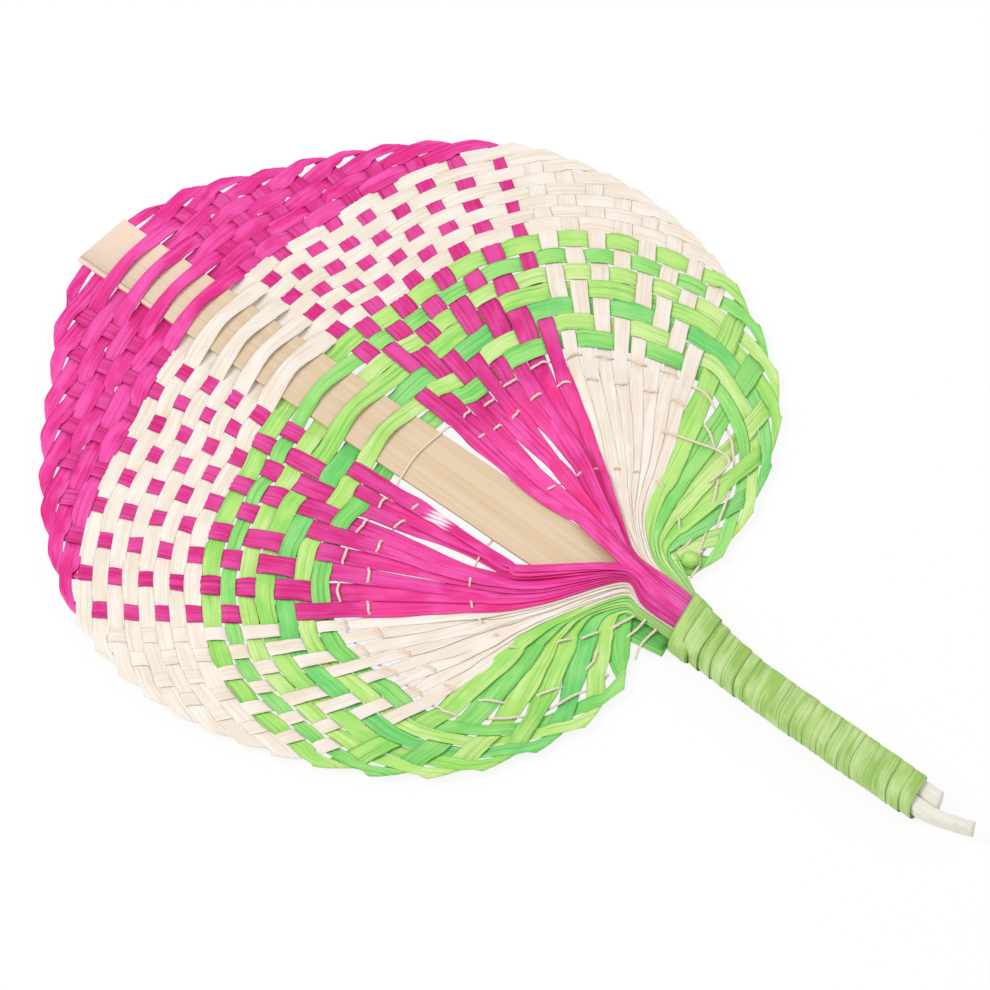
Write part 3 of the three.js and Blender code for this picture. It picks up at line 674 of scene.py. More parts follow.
class Finish(Nodes):
    """A procedural finish: one Principled shader and the nodes that feed it."""

    def __init__(self, name, roughness, specular=0.4):
        self.material = bpy.data.materials.new(name)
        self.material.use_nodes = True
        super().__init__(self.material.node_tree)
        self.shader = self.tree.nodes["Principled BSDF"]
        self.shader.inputs["Roughness"].default_value = roughness
        self.shader.inputs["Specular IOR Level"].default_value = specular

    def grain(self, vector, scale, detail=3.0):
        """Noise on coordinates that are first stretched by scale."""
        mapped = self.node("ShaderNodeMapping", {"Vector": vector, "Scale": scale}).outputs[0]
        return self.node("ShaderNodeTexNoise", {"Vector": mapped, "Scale": 1.0, "Detail": detail}).outputs["Fac"]

    def band(self, value, low, high):
        """Value from 0 at low to 1 at high."""
        inputs = {"Value": value, "From Min": low, "From Max": high}
        return self.node("ShaderNodeMapRange", inputs, interpolation_type="SMOOTHSTEP").outputs["Result"]

    def mix(self, share, a, b):
        """Colour a where the share is 0 and colour b where it is 1. A colour is a link, a code or linear light."""
        inputs = {0: share}
        for key, colour in ((6, a), (7, b)):
            colour = tint(colour) if isinstance(colour, str) else colour
            inputs[key] = colour if isinstance(colour, bpy.types.NodeSocket) else (*colour, 1.0)
        return self.node("ShaderNodeMix", inputs, data_type="RGBA").outputs[2]

    def bump(self, height, strength, distance):
        made = self.node("ShaderNodeBump", {"Height": height, "Strength": strength, "Distance": distance})
        self.feed(self.shader.inputs["Normal"], made.outputs["Normal"])

    def object_map(self):
        return self.node("ShaderNodeTexCoord").outputs["Object"]

    def length_map(self):
        return self.node("ShaderNodeUVMap", uv_map="length").outputs["UV"]

    def mark(self, name):
        return self.node("ShaderNodeAttribute", attribute_name=name).outputs["Fac"]

    def colour(self, socket):
        self.feed(self.shader.inputs["Base Color"], socket)


def leaf_finish(name, base, pale, deep, streak=0.6, stains=()):
    """A dyed leaf strip: fine fibres along its length, broader pale and deep streaks, slow patches of dye. Its marks
    say how pale it is in all, where it is darker, mostly with painted shade, and where it has each of the stains."""
    roughness = 0.5
    made = Finish(name, roughness)
    place = made.length_map()
    fibres = made.grain(place, (0.03, 4.2, 1.0), 2.0)
    streaks = made.grain(place, (0.022, 1.1, 1.0), 3.0)
    patches = made.grain(place, (0.07, 0.15, 1.0), 2.0)
    lines = made.times(made.band(fibres, 0.5, 0.66), 0.45 * streak)
    shade = made.plus(lines, made.times(made.band(streaks, 0.52, 0.68), 0.75 * streak))
    body = made.mix(made.plus(made.band(patches, 0.38, 0.66), made.mark("tone")), base, pale)
    light = made.times(made.band(streaks, 0.46, 0.34), 0.8)
    body = made.mix(light, body, pale)
    # The shade mark darkens towards deep: on the pieces it is mostly painted shade.
    colour = made.mix(made.plus(shade, made.mark("shade")), body, deep)
    for mark, code in stains:
        colour = made.mix(made.mark(mark), colour, code)
    made.colour(colour)
    made.feed(made.shader.inputs["Roughness"], made.plus(made.times(fibres, 0.25), roughness - 0.12))
    made.bump(made.plus(fibres, made.times(streaks, 1.6)), 0.45, 0.00035)
    return made.material


def slat_finish(base, pale, deep, tip):
    """Planed bamboo: long fine fibres and thin dark vessels along the slat, paler and pinker at the tip."""
    made = Finish("slat_bamboo", roughness=0.5)
    place = made.object_map()
    fibres = made.grain(place, (2600.0, 22.0, 800.0), 3.0)
    bands = made.grain(place, (520.0, 7.0, 100.0), 3.0)
    body = made.mix(made.band(bands, 0.35, 0.68), base, pale)
    body = made.mix(made.mark("tip"), body, tip)
    body = made.mix(made.times(made.band(fibres, 0.5, 0.8), 0.45), body, deep)
    # Painted shade in the split at the tip.
    made.colour(made.mix(made.mark("split"), body, "#7A5B3C"))
    made.bump(made.plus(fibres, bands), 0.25, 0.0003)
    return made.material


def thread_finish(base, deep):
    """Twisted fibre thread."""
    made = Finish("binding_thread", roughness=0.75, specular=0.2)
    place = made.length_map()
    plies = made.grain(place, (1.2, 3.0, 1.0), 3.0)
    made.colour(made.mix(made.times(made.band(plies, 0.4, 0.7), 0.6), base, deep))
    made.bump(plies, 0.5, 0.0002)
    return made.material


def stick_finish(base, deep):
    """Bare peeled stick, off-white with long fibres."""
    made = Finish("bare_stick", roughness=0.55)
    place = made.object_map()
    fibres = made.grain(place, (900.0, 18.0, 900.0), 4.0)
    made.colour(made.mix(made.times(made.band(fibres, 0.48, 0.75), 0.7), base, deep))
    made.bump(fibres, 0.4, 0.0004)
    return made.material


# Settings


def number_setting(name, description, value, least=0.0, **kind):
    return bpy.props.FloatProperty(name=name, description=description, default=value, min=least, **kind)


def length_setting(name, description, millimetres):
    return number_setting(name, description, millimetres / MM, precision=5, unit="LENGTH")


def share_setting(name, description, share):
    return number_setting(name, description, share, max=1.5, subtype="FACTOR")


def colour_setting(name, description, code):
    return bpy.props.FloatVectorProperty(
        name=name, description=description, default=tint(code), size=3, min=0.0, max=1.0, subtype="COLOR"
    )


class FanWeaveSettings(bpy.types.PropertyGroup):
    """Sizes of the woven strips."""

    thickness: length_setting("Strip thickness", "Thickness of a leaf strip", 0.2)
    weave_height: length_setting("Weave height", "How far a strip rises and dips at a crossing", 0.5)
    crown: length_setting("Crown", "How much higher the middle of a strip is than its edges", 0.5)
    arc_cover: share_setting("Cover", "Share of the pitch that a tight crossing strip covers", 1.14)
    loose_cover: share_setting("Loose cover", "Share of the pitch that a green crossing strip covers", 1.0)
    radial_width: length_setting("Strip width", "Width of a strip on its way through the weave", 6.1)
    radial_cover: share_setting("Strip cover", "Most of the spacing that a strip covers in the weave", 0.84)
    free_width: length_setting("Free width", "Width of a strip between the weave and the neck", 6.2)
    fold_cover: share_setting("Fold cover", "Length of the crease at the rim, as a share of the full fold", 1.35)
    fold_push: length_setting("Fold push", "How far the folds are drawn outwards", 0.1)
    slat_bulge: length_setting("Bulge on the slat", "How far a strip stands off the slat in the middle", 1.0)


class FanColourSettings(bpy.types.PropertyGroup):
    """Colours of the dyed strips and of the other pieces."""

    pink: colour_setting("Pink", "Dye of the strips at the tip", "#EE228F")
    natural: colour_setting("Natural", "Undyed strips", "#F8EADA")
    green_light: colour_setting("Light green", "First green dye", "#A0E66A")
    green_mid: colour_setting("Mid green", "Second green dye", "#84DC6A")
    green_yellow: colour_setting("Yellow green", "Third green dye", "#BAEC76")
    green_emerald: colour_setting("Emerald green", "Fourth green dye", "#74D870")
    slat: colour_setting("Slat", "Planed bamboo", "#E4C9A6")
    thread: colour_setting("Thread", "Binding thread", "#F5E6D4")
    wrap: colour_setting("Winding", "Leaf strip round the handle", "#A2CC64")
    stick: colour_setting("Sticks", "Bare core sticks", "#F3EEE2")


class FanHandleSettings(bpy.types.PropertyGroup):
    """Sizes of the threads and of the wrapped handle."""

    thread_radius: length_setting("Thread radius", "Radius of the binding threads", 0.46)
    turns: bpy.props.IntProperty(
        name="Turns", description="Turns of the winding round the grip", default=19, min=8, max=30
    )
    overlap: share_setting("Overlap", "Share of its pitch by which a turn lies over the next", 0.45)


class FanStageSettings(bpy.types.PropertyGroup):
    """Floor, light and camera."""

    floor: colour_setting("Floor", "Colour of the floor", "#FFFFFF")
    sky: number_setting("Sky light", "Strength of the even light from all sides", 0.6)
    key: number_setting("Key light", "Power of the large soft lamp", 20.0, unit="POWER")
    fill: number_setting("Fill light", "Power of the soft lamp on the other side", 5.0, unit="POWER")
    lens: number_setting("Lens", "Focal length of the camera on a 36 mm sensor", 206.6, 20.0, unit="CAMERA")


# Making the pieces


# By colour: share of the thickness, height of the ridges, and how pale or dark the strips are by place. The shades
# are painted shade: along the edges where strips meet, on their way through the weave, and along the edges in the
# neck.
THIN, RIDGES = (1.0, 0.65, 1.0), (0.05, 0.025, 0.05)
UNEVEN_TONE, FREE_TONE, RIGHT_TONE = (0.25, 0.25, 0.5), (0.3, 0.0, 0.0), (0.0, 0.0, 0.35)
TONE_WAVE, DYE_WAVE, STAIN_WAVE = 70.0, 40.0, 14.0  # lengths of the uneven dye, in millimetres
EDGE_SHADE, WOVEN_SHADE, NECK_SHADE = (0.28, 0.08, 0.2), (0.26, 0.05, 0.12), (0.3, 0.1, 0.2)


def make_strip(name, j, weave, extras=()):
    """Both halves of strip j, joined on the slat, as one closed ribbon, with the marks for its finish. The last
    strip is paler at its right fold, green strips fade in the neck, and pink ones are redder here and there,
    stained in the neck and, the first on the left, worn at one place."""
    right, left = [
        half_strip(side, j, weave, np.random.default_rng((WEAVE_SEED, j, side + 1))) for side in (1, -1)
    ]
    right = [line[::-1] for line in right]
    left = [line * MIRROR if line.ndim > 1 else line for line in left]
    a, b, crown, swell, at = [np.concatenate([r, l[1:]]) for r, l in zip(right, left)]
    rng = np.random.default_rng((WEAVE_SEED, j, 7))
    group = GROUP_OF[j]
    ridges = RIDGES[group] * np.cos(ACROSS * math.pi * rng.uniform(1.6, 3.4) + rng.uniform(0, 6.28))
    rings, uv = ribbon(a, b, crown, weave.thickness * MM * THIN[group], ridges, swell)
    length = uv[:, :1, 0]
    edge = smooth((np.abs(PLACES) - 0.82) / 0.18)
    on_left = (np.arange(len(at)) >= len(right[0]))[:, None]
    free = smooth(at / 0.8)[:, None]
    gathered = smooth((at - BEND_AT) / (TURN_AT - BEND_AT))[:, None]
    woven = np.where(at >= ON_RADIAL, 1 - smooth(at), 0.0)[:, None]
    tone = rng.uniform(-0.2, 0.2) + UNEVEN_TONE[group] * waver(rng, length, TONE_WAVE) + FREE_TONE[group] * free
    tone = tone + RIGHT_TONE[group] * (1 + gathered) * ~on_left
    # Painted shade along the edges where strips meet, on each strip's way through the weave below its fold, and more
    # along the edges where the strips bunch in the neck.
    shade = EDGE_SHADE[group] * edge + WOVEN_SHADE[group] * woven + NECK_SHADE[group] * gathered * edge
    if j == COUNT - 1:
        fold = length[(at == ON_FOLD) & ~on_left[:, 0]].mean()
        tone = tone + 1.2 * smooth(1.8 - np.abs(length - fold) / 20)
    marks = {"tone": tone, "shade": shade}
    if group == GREEN:
        marks["stain"] = 0.65 * smooth((at - 4.2) / 1.5)[:, None]
    if group == PINK:
        dye = np.where(on_left, rng.uniform(-0.4, 0.6), rng.uniform(-0.3, 0.9))
        dye = dye * (0.6 + 0.4 * waver(rng, length, DYE_WAVE))
        marks["rose"] = np.clip(dye * free * smooth((NECK_AT - at) / 1.5)[:, None], 0, 1)
        low = smooth((at - 4.7) / 1.5)[:, None] * np.where(on_left, 0.3, 0.6)
        marks["stain"] = low * (0.75 + 0.4 * waver(rng, length, STAIN_WAVE))
        bare = bell(at[:, None], 1.1, 0.26) * on_left * (j == 0)
        marks["worn"] = smooth((bare * (1.1 + 0.5 * np.sin(PLACES * 9 + at[:, None] * 14)) - 0.45) / 0.4)
    uv = uv + np.array((rng.uniform(0, 400), rng.uniform(0, 60)))
    return lofted(name, (rings, uv, marks), *extras)


def make_group(context, group, materials, slots, extras=None):
    """All strips of one colour. The slots take turns; extras are further parts of a strip's piece, by number."""
    for n, j in enumerate(np.flatnonzero(GROUP_OF == group).tolist()):
        node = f"{GROUPS[group][0]}_strip_{n + 1}"
        slot = slots[n % len(slots)]
        piece = make_strip(f"woven_{node}", j, context.scene.fan_weave, (extras or {}).get(n, ()))
        seat(piece, materials[slot], slot, node)


class FAN_OT_pink_strips(bpy.types.Operator):
    """Weave the pink strips"""

    bl_idname = "fan.pink_strips"
    bl_label = "Pink strips"

    def execute(self, context):
        stains = (("rose", "#FB2280"), ("stain", "#CE62B6"), ("worn", "#FDF1F5"))
        material = leaf_finish("pink_leaf", context.scene.fan_colours.pink, "#FF58B8", "#B80C62", stains=stains)
        make_group(context, PINK, {"pink": material}, ("pink",))
        return {"FINISHED"}


class FAN_OT_natural_strips(bpy.types.Operator):
    """Weave the undyed strips"""

    bl_idname = "fan.natural_strips"
    bl_label = "Natural strips"

    def execute(self, context):
        natural = context.scene.fan_colours.natural
        material = leaf_finish("natural_leaf", natural, "#FFF7EE", "#E6CCAA", streak=0.5)
        make_group(context, NATURAL, {"natural": material}, ("natural",))
        return {"FINISHED"}


def knotted_end(centre, radius, height):
    """A strip end rolled up into a small knot: a flattened ball with six soft corners, creased by the turns."""
    level = np.linspace(-1.45, 1.45, 17)[:, None]
    turn = np.linspace(0, 2 * math.pi, 48, endpoint=False)[None]
    corners = 0.9 / np.cos((turn + 0.3) % (math.pi / 3) - math.pi / 6)
    crease = np.cos(2 * turn + 4 * level) ** 8 * np.cos(level)
    reach = radius * np.cos(level) ** 0.4 * corners - 0.22 * crease
    x = centre[0] + reach * np.cos(turn)
    y = centre[1] + reach * np.sin(turn)
    z = height / 2 * (1.1 + np.sin(level)) - 0.2 * crease
    rings = np.stack([x, y, z], -1)[:, ::-1]
    uv = np.stack(np.broadcast_arrays(turn * radius, level * radius), -1)
    # Painted shade in its creases and on its lower half; it is also a little darker all over.
    return rings, uv, {"tone": -0.2, "shade": 0.2 + 0.7 * crease + 0.35 * smooth(-np.sin(level))}


def tucked_end(first, last, width, height):
    """A short straight strip between two points in plan, lying flat."""
    way = np.linspace(first, last, 12)
    across = turned(unit(np.subtract(last, first))) * width / 2
    return flat(way - across, height), flat(way + across, height)


def loose_part(a, b, tone, shade):
    """A loose end of leaf as a part of a strip's piece."""
    rings, uv = ribbon(a, b, np.full(len(a), 0.15), thickness=0.22, ridges=0.0 * ACROSS)
    return rings, uv, {"tone": tone, "shade": shade}


class FAN_OT_green_strips(bpy.types.Operator):
    """Weave the green strips"""

    bl_idname = "fan.green_strips"
    bl_label = "Green strips"

    def execute(self, context):
        colours = context.scene.fan_colours
        dyes = {
            "green_light": ("#C6F288", "#6AB644"),
            "green_mid": ("#AAEC84", "#5AB450"),
            "green_yellow": ("#DAF7A0", "#86C454"),
            "green_emerald": ("#9CE886", "#50B054"),
        }
        faded = (("stain", "#C4E08E"),)
        materials = {
            slot: leaf_finish(f"{slot}_leaf", getattr(colours, slot), pale, deep, 0.7, faded)
            for slot, (pale, deep) in dyes.items()
        }
        order = ("light", "mid", "yellow", "light", "emerald", "yellow", "mid")
        # Two leaf ends lie flat under the left stack; their darkness, the first's most, is painted shadow under the
        # stack.
        tucked = [
            loose_part(*tucked_end((-8.5, -43.0), (-6.9, -65.0), width=5.5, height=0.45), tone=-0.3, shade=0.85),
            loose_part(*tucked_end((-11.6, -50.5), (-8.9, -66.0), width=5.0, height=0.25), tone=0.0, shade=0.4),
        ]
        extras = {5: [knotted_end(centre=(23.0, -51.0), radius=3.4, height=2.6)], 6: tucked}
        make_group(context, GREEN, materials, tuple(f"green_{name}" for name in order), extras)
        return {"FINISHED"}


def rounded_ring(half_x, half_z, radius, per_corner=6):
    """A rounded rectangle as one ring: quarter circles set in from the corners. Sizes may be arrays."""
    turn = np.concatenate([np.linspace(q, q + 90, per_corner) for q in (0, 90, 180, 270)])
    angle = np.radians(-turn)
    half_x, half_z, radius = [np.atleast_1d(np.asarray(s, float))[:, None] for s in (half_x, half_z, radius)]
    quarter = np.repeat(np.arange(4), per_corner)
    sign_x = np.array((1, -1, -1, 1))[quarter]
    sign_z = np.array((-1, -1, 1, 1))[quarter]
    x = sign_x * (half_x - radius) + radius * np.cos(angle)
    z = sign_z * (half_z - radius) + radius * np.sin(angle)
    return x, z


SLAT_CORNER, SLAT_IN_GRIP = 0.32, 4.3  # radius of its edges, half its width inside the grip
# The split in its tip: share of the half width at which it lies, length, depth
TIP_SPLIT, TIP_SPLIT_LENGTH, TIP_SPLIT_DEPTH = -0.84, 36.0, 0.5


class FAN_OT_slat(bpy.types.Operator):
    """Plane the bamboo slat"""

    bl_idname = "fan.slat"
    bl_label = "Spine slat"

    def execute(self, context):
        y = np.concatenate([(SLAT_TIP, SLAT_TIP - 0.25), np.linspace(SLAT_TIP - 0.8, GRIP_END + 1.0, 160)])
        narrow = smooth((NECK_TOP - y) / 13.0)
        half = slat_half(y) * (1 - narrow) + SLAT_IN_GRIP * narrow
        inset = np.where(y > SLAT_TIP - 0.1, 0.25, 0.0)
        x, z = rounded_ring(half - inset, SLAT_FACE - inset, SLAT_CORNER)
        cut = x.shape[1] * 3 // 4  # the split in the tip comes in after the third corner of a ring
        open_end = smooth((y - SLAT_TIP + TIP_SPLIT_LENGTH) / 12.0)[:, None]
        groove = TIP_SPLIT * half[:, None] + np.array((-0.14, 0.0, 0.14))
        depth = np.array((0.0, TIP_SPLIT_DEPTH, 0.0)) * open_end
        x = np.concatenate([x[:, :cut], groove, x[:, cut:]], 1)
        z = np.concatenate([z[:, :cut], z[:, cut - 1:cut] - depth, z[:, cut:]], 1)
        # The split's mark carries painted shade into its groove.
        split = np.zeros_like(x)
        split[:, cut:cut + 3] = np.array((0.2, 1.0, 0.2)) * open_end
        rng = np.random.default_rng(SLAT_SEED)
        x = x + 0.12 * waver(rng, y, 60.0)[:, None]
        x = x + axis_x(y)[:, None] * smooth((-42 - y) / 20)[:, None]
        rows = y[:, None] - 0.06 * (x + SLAT_WIDTH / 2) * smooth((y - SLAT_TIP + 14) / 14)[:, None]
        rings = np.stack(np.broadcast_arrays(x, rows, z), -1)
        uv = np.stack(np.broadcast_arrays(rows, x), -1)
        tip = smooth((y - 120) / 60)[:, None]
        piece = lofted("planed_spine_slat", (rings, uv, {"tip": tip, "split": split}))
        material = slat_finish(context.scene.fan_colours.slat, "#EAD3B6", "#C9A57C", "#FADFCB")
        seat(piece, material, "bamboo", "spine_slat")
        return {"FINISHED"}


def thread_tube(path, radius, sides=10):
    """A two-ply thread: a tube along a path whose radius swells twice round, the swelling turning along it."""
    along = unit(np.gradient(path, axis=0))
    side = unit(np.cross(along, np.array((0.0, 0.0, 1.0))))
    up = np.cross(side, along)
    length = length_along(path)
    angle = np.linspace(0, 2 * math.pi, sides, endpoint=False)[None]
    swell = radius * (0.84 + 0.22 * np.abs(np.cos(angle - length[:, None] * 0.8)))
    out, rise = np.cos(angle) * swell, np.sin(angle) * swell
    offset = side[:, None] * out[..., None] + up[:, None] * rise[..., None] * 0.75
    uv = np.stack(np.broadcast_arrays(length[:, None], angle * radius), -1)
    return (path[:, None] + offset)[:, ::-1], uv, {}


THREAD_STATIONS = 14  # from strip to strip
INNER_AT, INNER_OVER, INNER_UNDER = 2.15, 2.1, -0.9  # place of the inner thread on the free ways, its heights


def thread_line(side, arc, first, last, high, parity, rng, over_slat=False):
    """Half a thread along one crossing number, over every second strip and under the others."""
    lattice = LATTICE[side]
    strip = np.linspace(first, last, int((last - first) * THREAD_STATIONS))
    numbers = np.arange(max(0, math.ceil(first)), math.floor(last) + 1)
    knots = [float(n) for n in numbers]
    heights = [high if (n + parity) % 2 else -high for n in numbers]
    if over_slat:
        top = SLAT_FACE + 0.5
        knots = [-1.0, lattice.slat_edge(arc), *knots]
        heights = [top, top, *heights]
    knots.append(last + 1e-6)
    heights.append(heights[-1])
    z = eased(strip, np.array(knots), np.array(heights), THREAD_SHARP)
    sway = 0.10 * waver(rng, strip, 2.6) * smooth((strip + 0.5) / 0.8)
    return flat(lattice.place(strip, arc + sway), z)


def both_halves(right, left):
    """One path from the right end over the slat to the left end."""
    return np.concatenate([right[::-1], (left * MIRROR)[1:]])


def inner_line(side, radius):
    """Half of the inner thread: behind the slat, then in and out between the free strips near the neck."""
    plan, at = FREE[side]
    points = plan[:, int(np.argmin(np.abs(at - INNER_AT)))]
    strip = np.linspace(0, COUNT - 1, COUNT * THREAD_STATIONS)
    heights = np.where(np.arange(COUNT) % 3 == 2, INNER_OVER, INNER_UNDER)
    z = eased(strip, np.arange(COUNT, dtype=float), heights, THREAD_SHARP)
    edge = np.array([[slat_half(points[0, 1]) + 0.4, points[0, 1]]])
    spine = np.array([[0.0, points[0, 1] + 1.0]])
    back = flat(np.concatenate([spine, edge]), -SLAT_FACE - radius - 0.1)
    return np.concatenate([back, flat(cubic(points, strip), z)])


# The two rows of the outer thread: crossing number, first and last strip number, height, even or odd. The even
# row also crosses the slat.
STITCH_ROWS = ((THREAD_ARC, -1.0, 22.6, 0.75, 0), (THREAD_ARC + 1.5, 0.0, 22.6, 1.25, 1))
# Ends of thread that lie loose over the lobes
LOOSE_THREADS = (
    ((-15.6, -46.6, 0.9), (-11.0, -48.6, 1.8), (-6.0, -50.8, 2.6)),
    ((-13.0, -53.2, 0.7), (-9.0, -54.2, 1.7), (-4.6, -54.4, 2.6)),
    ((-17.5, -60.4, 0.4), (-12.1, -58.6, 0.8), (-5.2, -59.3, 2.2)),
    ((-23.2, -42.6, 1.9), (-20.6, -43.9, 2.2), (-18.0, -45.2, 1.9)),
    ((57.0, -13.0, 1.4), (60.2, -24.3, 1.5), (62.3, -33.0, 1.5), (60.3, -37.9, 1.5), (50.7, -37.3, 1.3)),
    ((35.6, -48.0, 0.6), (28.0, -51.0, 0.8), (23.8, -54.2, 0.8), (18.0, -55.2, 0.6)),
)


def loose_thread(points):
    """A smooth line through a few points."""
    points = np.array(points)
    return cubic(points, np.linspace(0, len(points) - 1, 30))


class FAN_OT_threads(bpy.types.Operator):
    """Stitch the binding threads"""

    bl_idname = "fan.threads"
    bl_label = "Binding threads"

    def execute(self, context):
        radius = context.scene.fan_handle.thread_radius * MM
        material = thread_finish(context.scene.fan_colours.thread, "#DABC9C")
        outer, second = [
            [
                thread_line(side, *row, parity, np.random.default_rng((STITCH_SEED, side + 1, parity)), parity == 0)
                for side in (1, -1)
            ]
            for *row, parity in STITCH_ROWS
        ]
        tubes = [thread_tube(both_halves(*outer), radius)]
        tubes += [thread_tube(second[0], radius), thread_tube((second[1] * MIRROR)[::-1], radius)]
        piece = lofted("stitched_outer_thread", *tubes)
        seat(piece, material, "thread", "outer_thread")
        lines = [inner_line(side, radius) for side in (1, -1)]
        tubes = [thread_tube(both_halves(*lines), radius * 0.9)]
        tubes += [thread_tube(loose_thread(points), radius) for points in LOOSE_THREADS]
        piece = lofted("stitched_inner_thread", *tubes)
        seat(piece, material, "thread", "inner_thread")
        return {"FINISHED"}


def rounded_box(half_x, half_z, angle, power=0.58):
    """A rounded box about the origin: cosine and sine, each to a power below one, with sign."""
    c, s = np.cos(angle), np.sin(angle)
    return half_x * np.sign(c) * np.abs(c) ** power, half_z * np.sign(s) * np.abs(s) ** power


def wound(angle, top, width, half_x, half_z, middle, flare, slant, rng):
    """The two edge lines of a strip wound round a rounded box. The turns slant; the lower edge stands out over
    the next turn by the flare."""
    edges = []
    for y, grow in ((top, 0.0), (top - width, flare)):
        x, z = rounded_box(half_x + grow, half_z + grow, angle)
        row = y + slant * x + 0.15 * waver(rng, angle, 9.0)
        edges.append(np.stack([x + axis_x(row), row, z + middle], -1))
    return edges


BAND_THICKNESS, WINDING_THICKNESS = 0.45, 0.22
# The collar: turns, height at which it starts, how far it drifts down, width, half its size and how far that shrinks
COLLAR_TURNS, COLLAR_START, COLLAR_DRIFT, COLLAR_WIDTH = 2.2, -63.9, 1.2, 7.6
COLLAR_HALF, COLLAR_SHRINK, COLLAR_MIDDLE = (10.2, 5.4), (0.7, 0.5), 2.6


class FAN_OT_collar(bpy.types.Operator):
    """Wrap the collar round the neck"""

    bl_idname = "fan.collar"
    bl_label = "Collar"

    def execute(self, context):
        rng = np.random.default_rng(COLLAR_SEED)
        done = np.linspace(0, 1, 280)
        angle = -0.5 + 2 * math.pi * COLLAR_TURNS * done
        half_x, half_z = [half - shrink * done for half, shrink in zip(COLLAR_HALF, COLLAR_SHRINK)]
        top = COLLAR_START - COLLAR_DRIFT * done
        a, b = wound(angle, top, COLLAR_WIDTH, half_x, half_z, COLLAR_MIDDLE, flare=-0.5, slant=0.2, rng=rng)
        # Painted shade along both edges of the band, where its turns meet.
        edge = {"shade": 0.2 * smooth((np.abs(PLACES) - 0.8) / 0.2), "tone": 0.0}
        ridges = 0.05 * np.cos(ACROSS * 7)
        piece = lofted("wrapped_collar_band", (*ribbon(a, b, np.zeros(len(a)), BAND_THICKNESS, ridges), edge))
        material = leaf_finish("collar_leaf", context.scene.fan_colours.wrap, "#C2E388", "#79A544", streak=0.7)
        seat(piece, material, "wrap", "collar_band")
        return {"FINISHED"}


WRAP_ROOM = (1.45, 1.35)  # between the core and the winding, sideways and in height
TURN_STATIONS = 52  # of one turn
# The winding stands out over the collar's foot and is tucked in at its end: how far, over how many turns
FOOT_SWELL, FOOT_TURNS, TUCK, TUCK_TURNS = 1.9, 1.8, 0.75, 1.6


class FAN_OT_winding(bpy.types.Operator):
    """Wind the leaf strip round the grip"""

    bl_idname = "fan.winding"
    bl_label = "Handle winding"

    def execute(self, context):
        handle = context.scene.fan_handle
        rng = np.random.default_rng(WINDING_SEED)
        turns = handle.turns
        start, end = COLLAR_TOP - 5.5, GRIP_END - 3.0  # it starts under the collar and hides the sticks' roots
        width = (start - end) / (turns + 1) * (1 + handle.overlap)
        turn = np.linspace(0, turns, turns * TURN_STATIONS)
        angle = turn * 2 * math.pi - 0.6
        top = start + (end + width - start) * turn / turns
        top = top + 0.7 * waver(rng, turn, 3.7) * smooth((turns - turn) / 2)
        swell = 0.18 * waver(rng, turn, 5.1) + FOOT_SWELL * np.exp(-turn / FOOT_TURNS)
        swell = swell - TUCK * smooth((turn - turns + TUCK_TURNS) / TUCK_TURNS)
        half_x = CORE_WIDTH / 2 + WRAP_ROOM[0] + swell
        half_z = CORE_HEIGHT / 2 + WRAP_ROOM[1] + swell * 0.5
        lifted = smooth((waver(rng, turn, 2.6) + 0.1) / 0.5)
        flare = 0.14 + 0.14 * lifted
        a, b = wound(angle, top, width, half_x, half_z, CORE_MIDDLE, flare, slant=0.1, rng=rng)
        # Painted shade along the lower edge of each turn, where it lies over the next, darker where that edge stands
        # out more; the turns also differ at random.
        shade = (0.05 + 0.3 * lifted[:, None]) * smooth((PLACES - 0.88) / 0.12)
        marks = {
            "shade": shade + 0.14 * waver(rng, turn, 2.2)[:, None],
            "tone": 0.3 * waver(rng, turn, 3.1)[:, None],
        }
        ridges = 0.04 * np.cos(ACROSS * 11)
        piece = lofted("wound_handle_strip", (*ribbon(a, b, np.zeros(len(a)), WINDING_THICKNESS, ridges), marks))
        material = leaf_finish("winding_leaf", context.scene.fan_colours.wrap, "#CDE79C", "#84B052", streak=0.8)
        seat(piece, material, "wrap", "handle_winding")
        return {"FINISHED"}


STICK_CORNER, STICK_CUT = 1.3, 6.0  # radius of a stick's edges, length of its slanted end


def stick_rings(y, left, right, low, high, cut):
    """A stick between two side lines and two faces: rounded rectangles along its length, its end cut aslant."""
    x, z = rounded_ring((right - left) / 2, np.full(len(y), (high - low) / 2), np.full(len(y), STICK_CORNER), 7)
    x = x + ((right + left) / 2)[:, None]
    z = z + (high + low) / 2
    near = smooth((y.min() + STICK_CUT - y) / STICK_CUT)[:, None]
    rows = y[:, None] + cut * near * (x - x.mean(1, keepdims=True))
    x = x + axis_x(y)[:, None]
    return np.stack([x, rows, z], -1), np.stack([rows, x], -1), {}


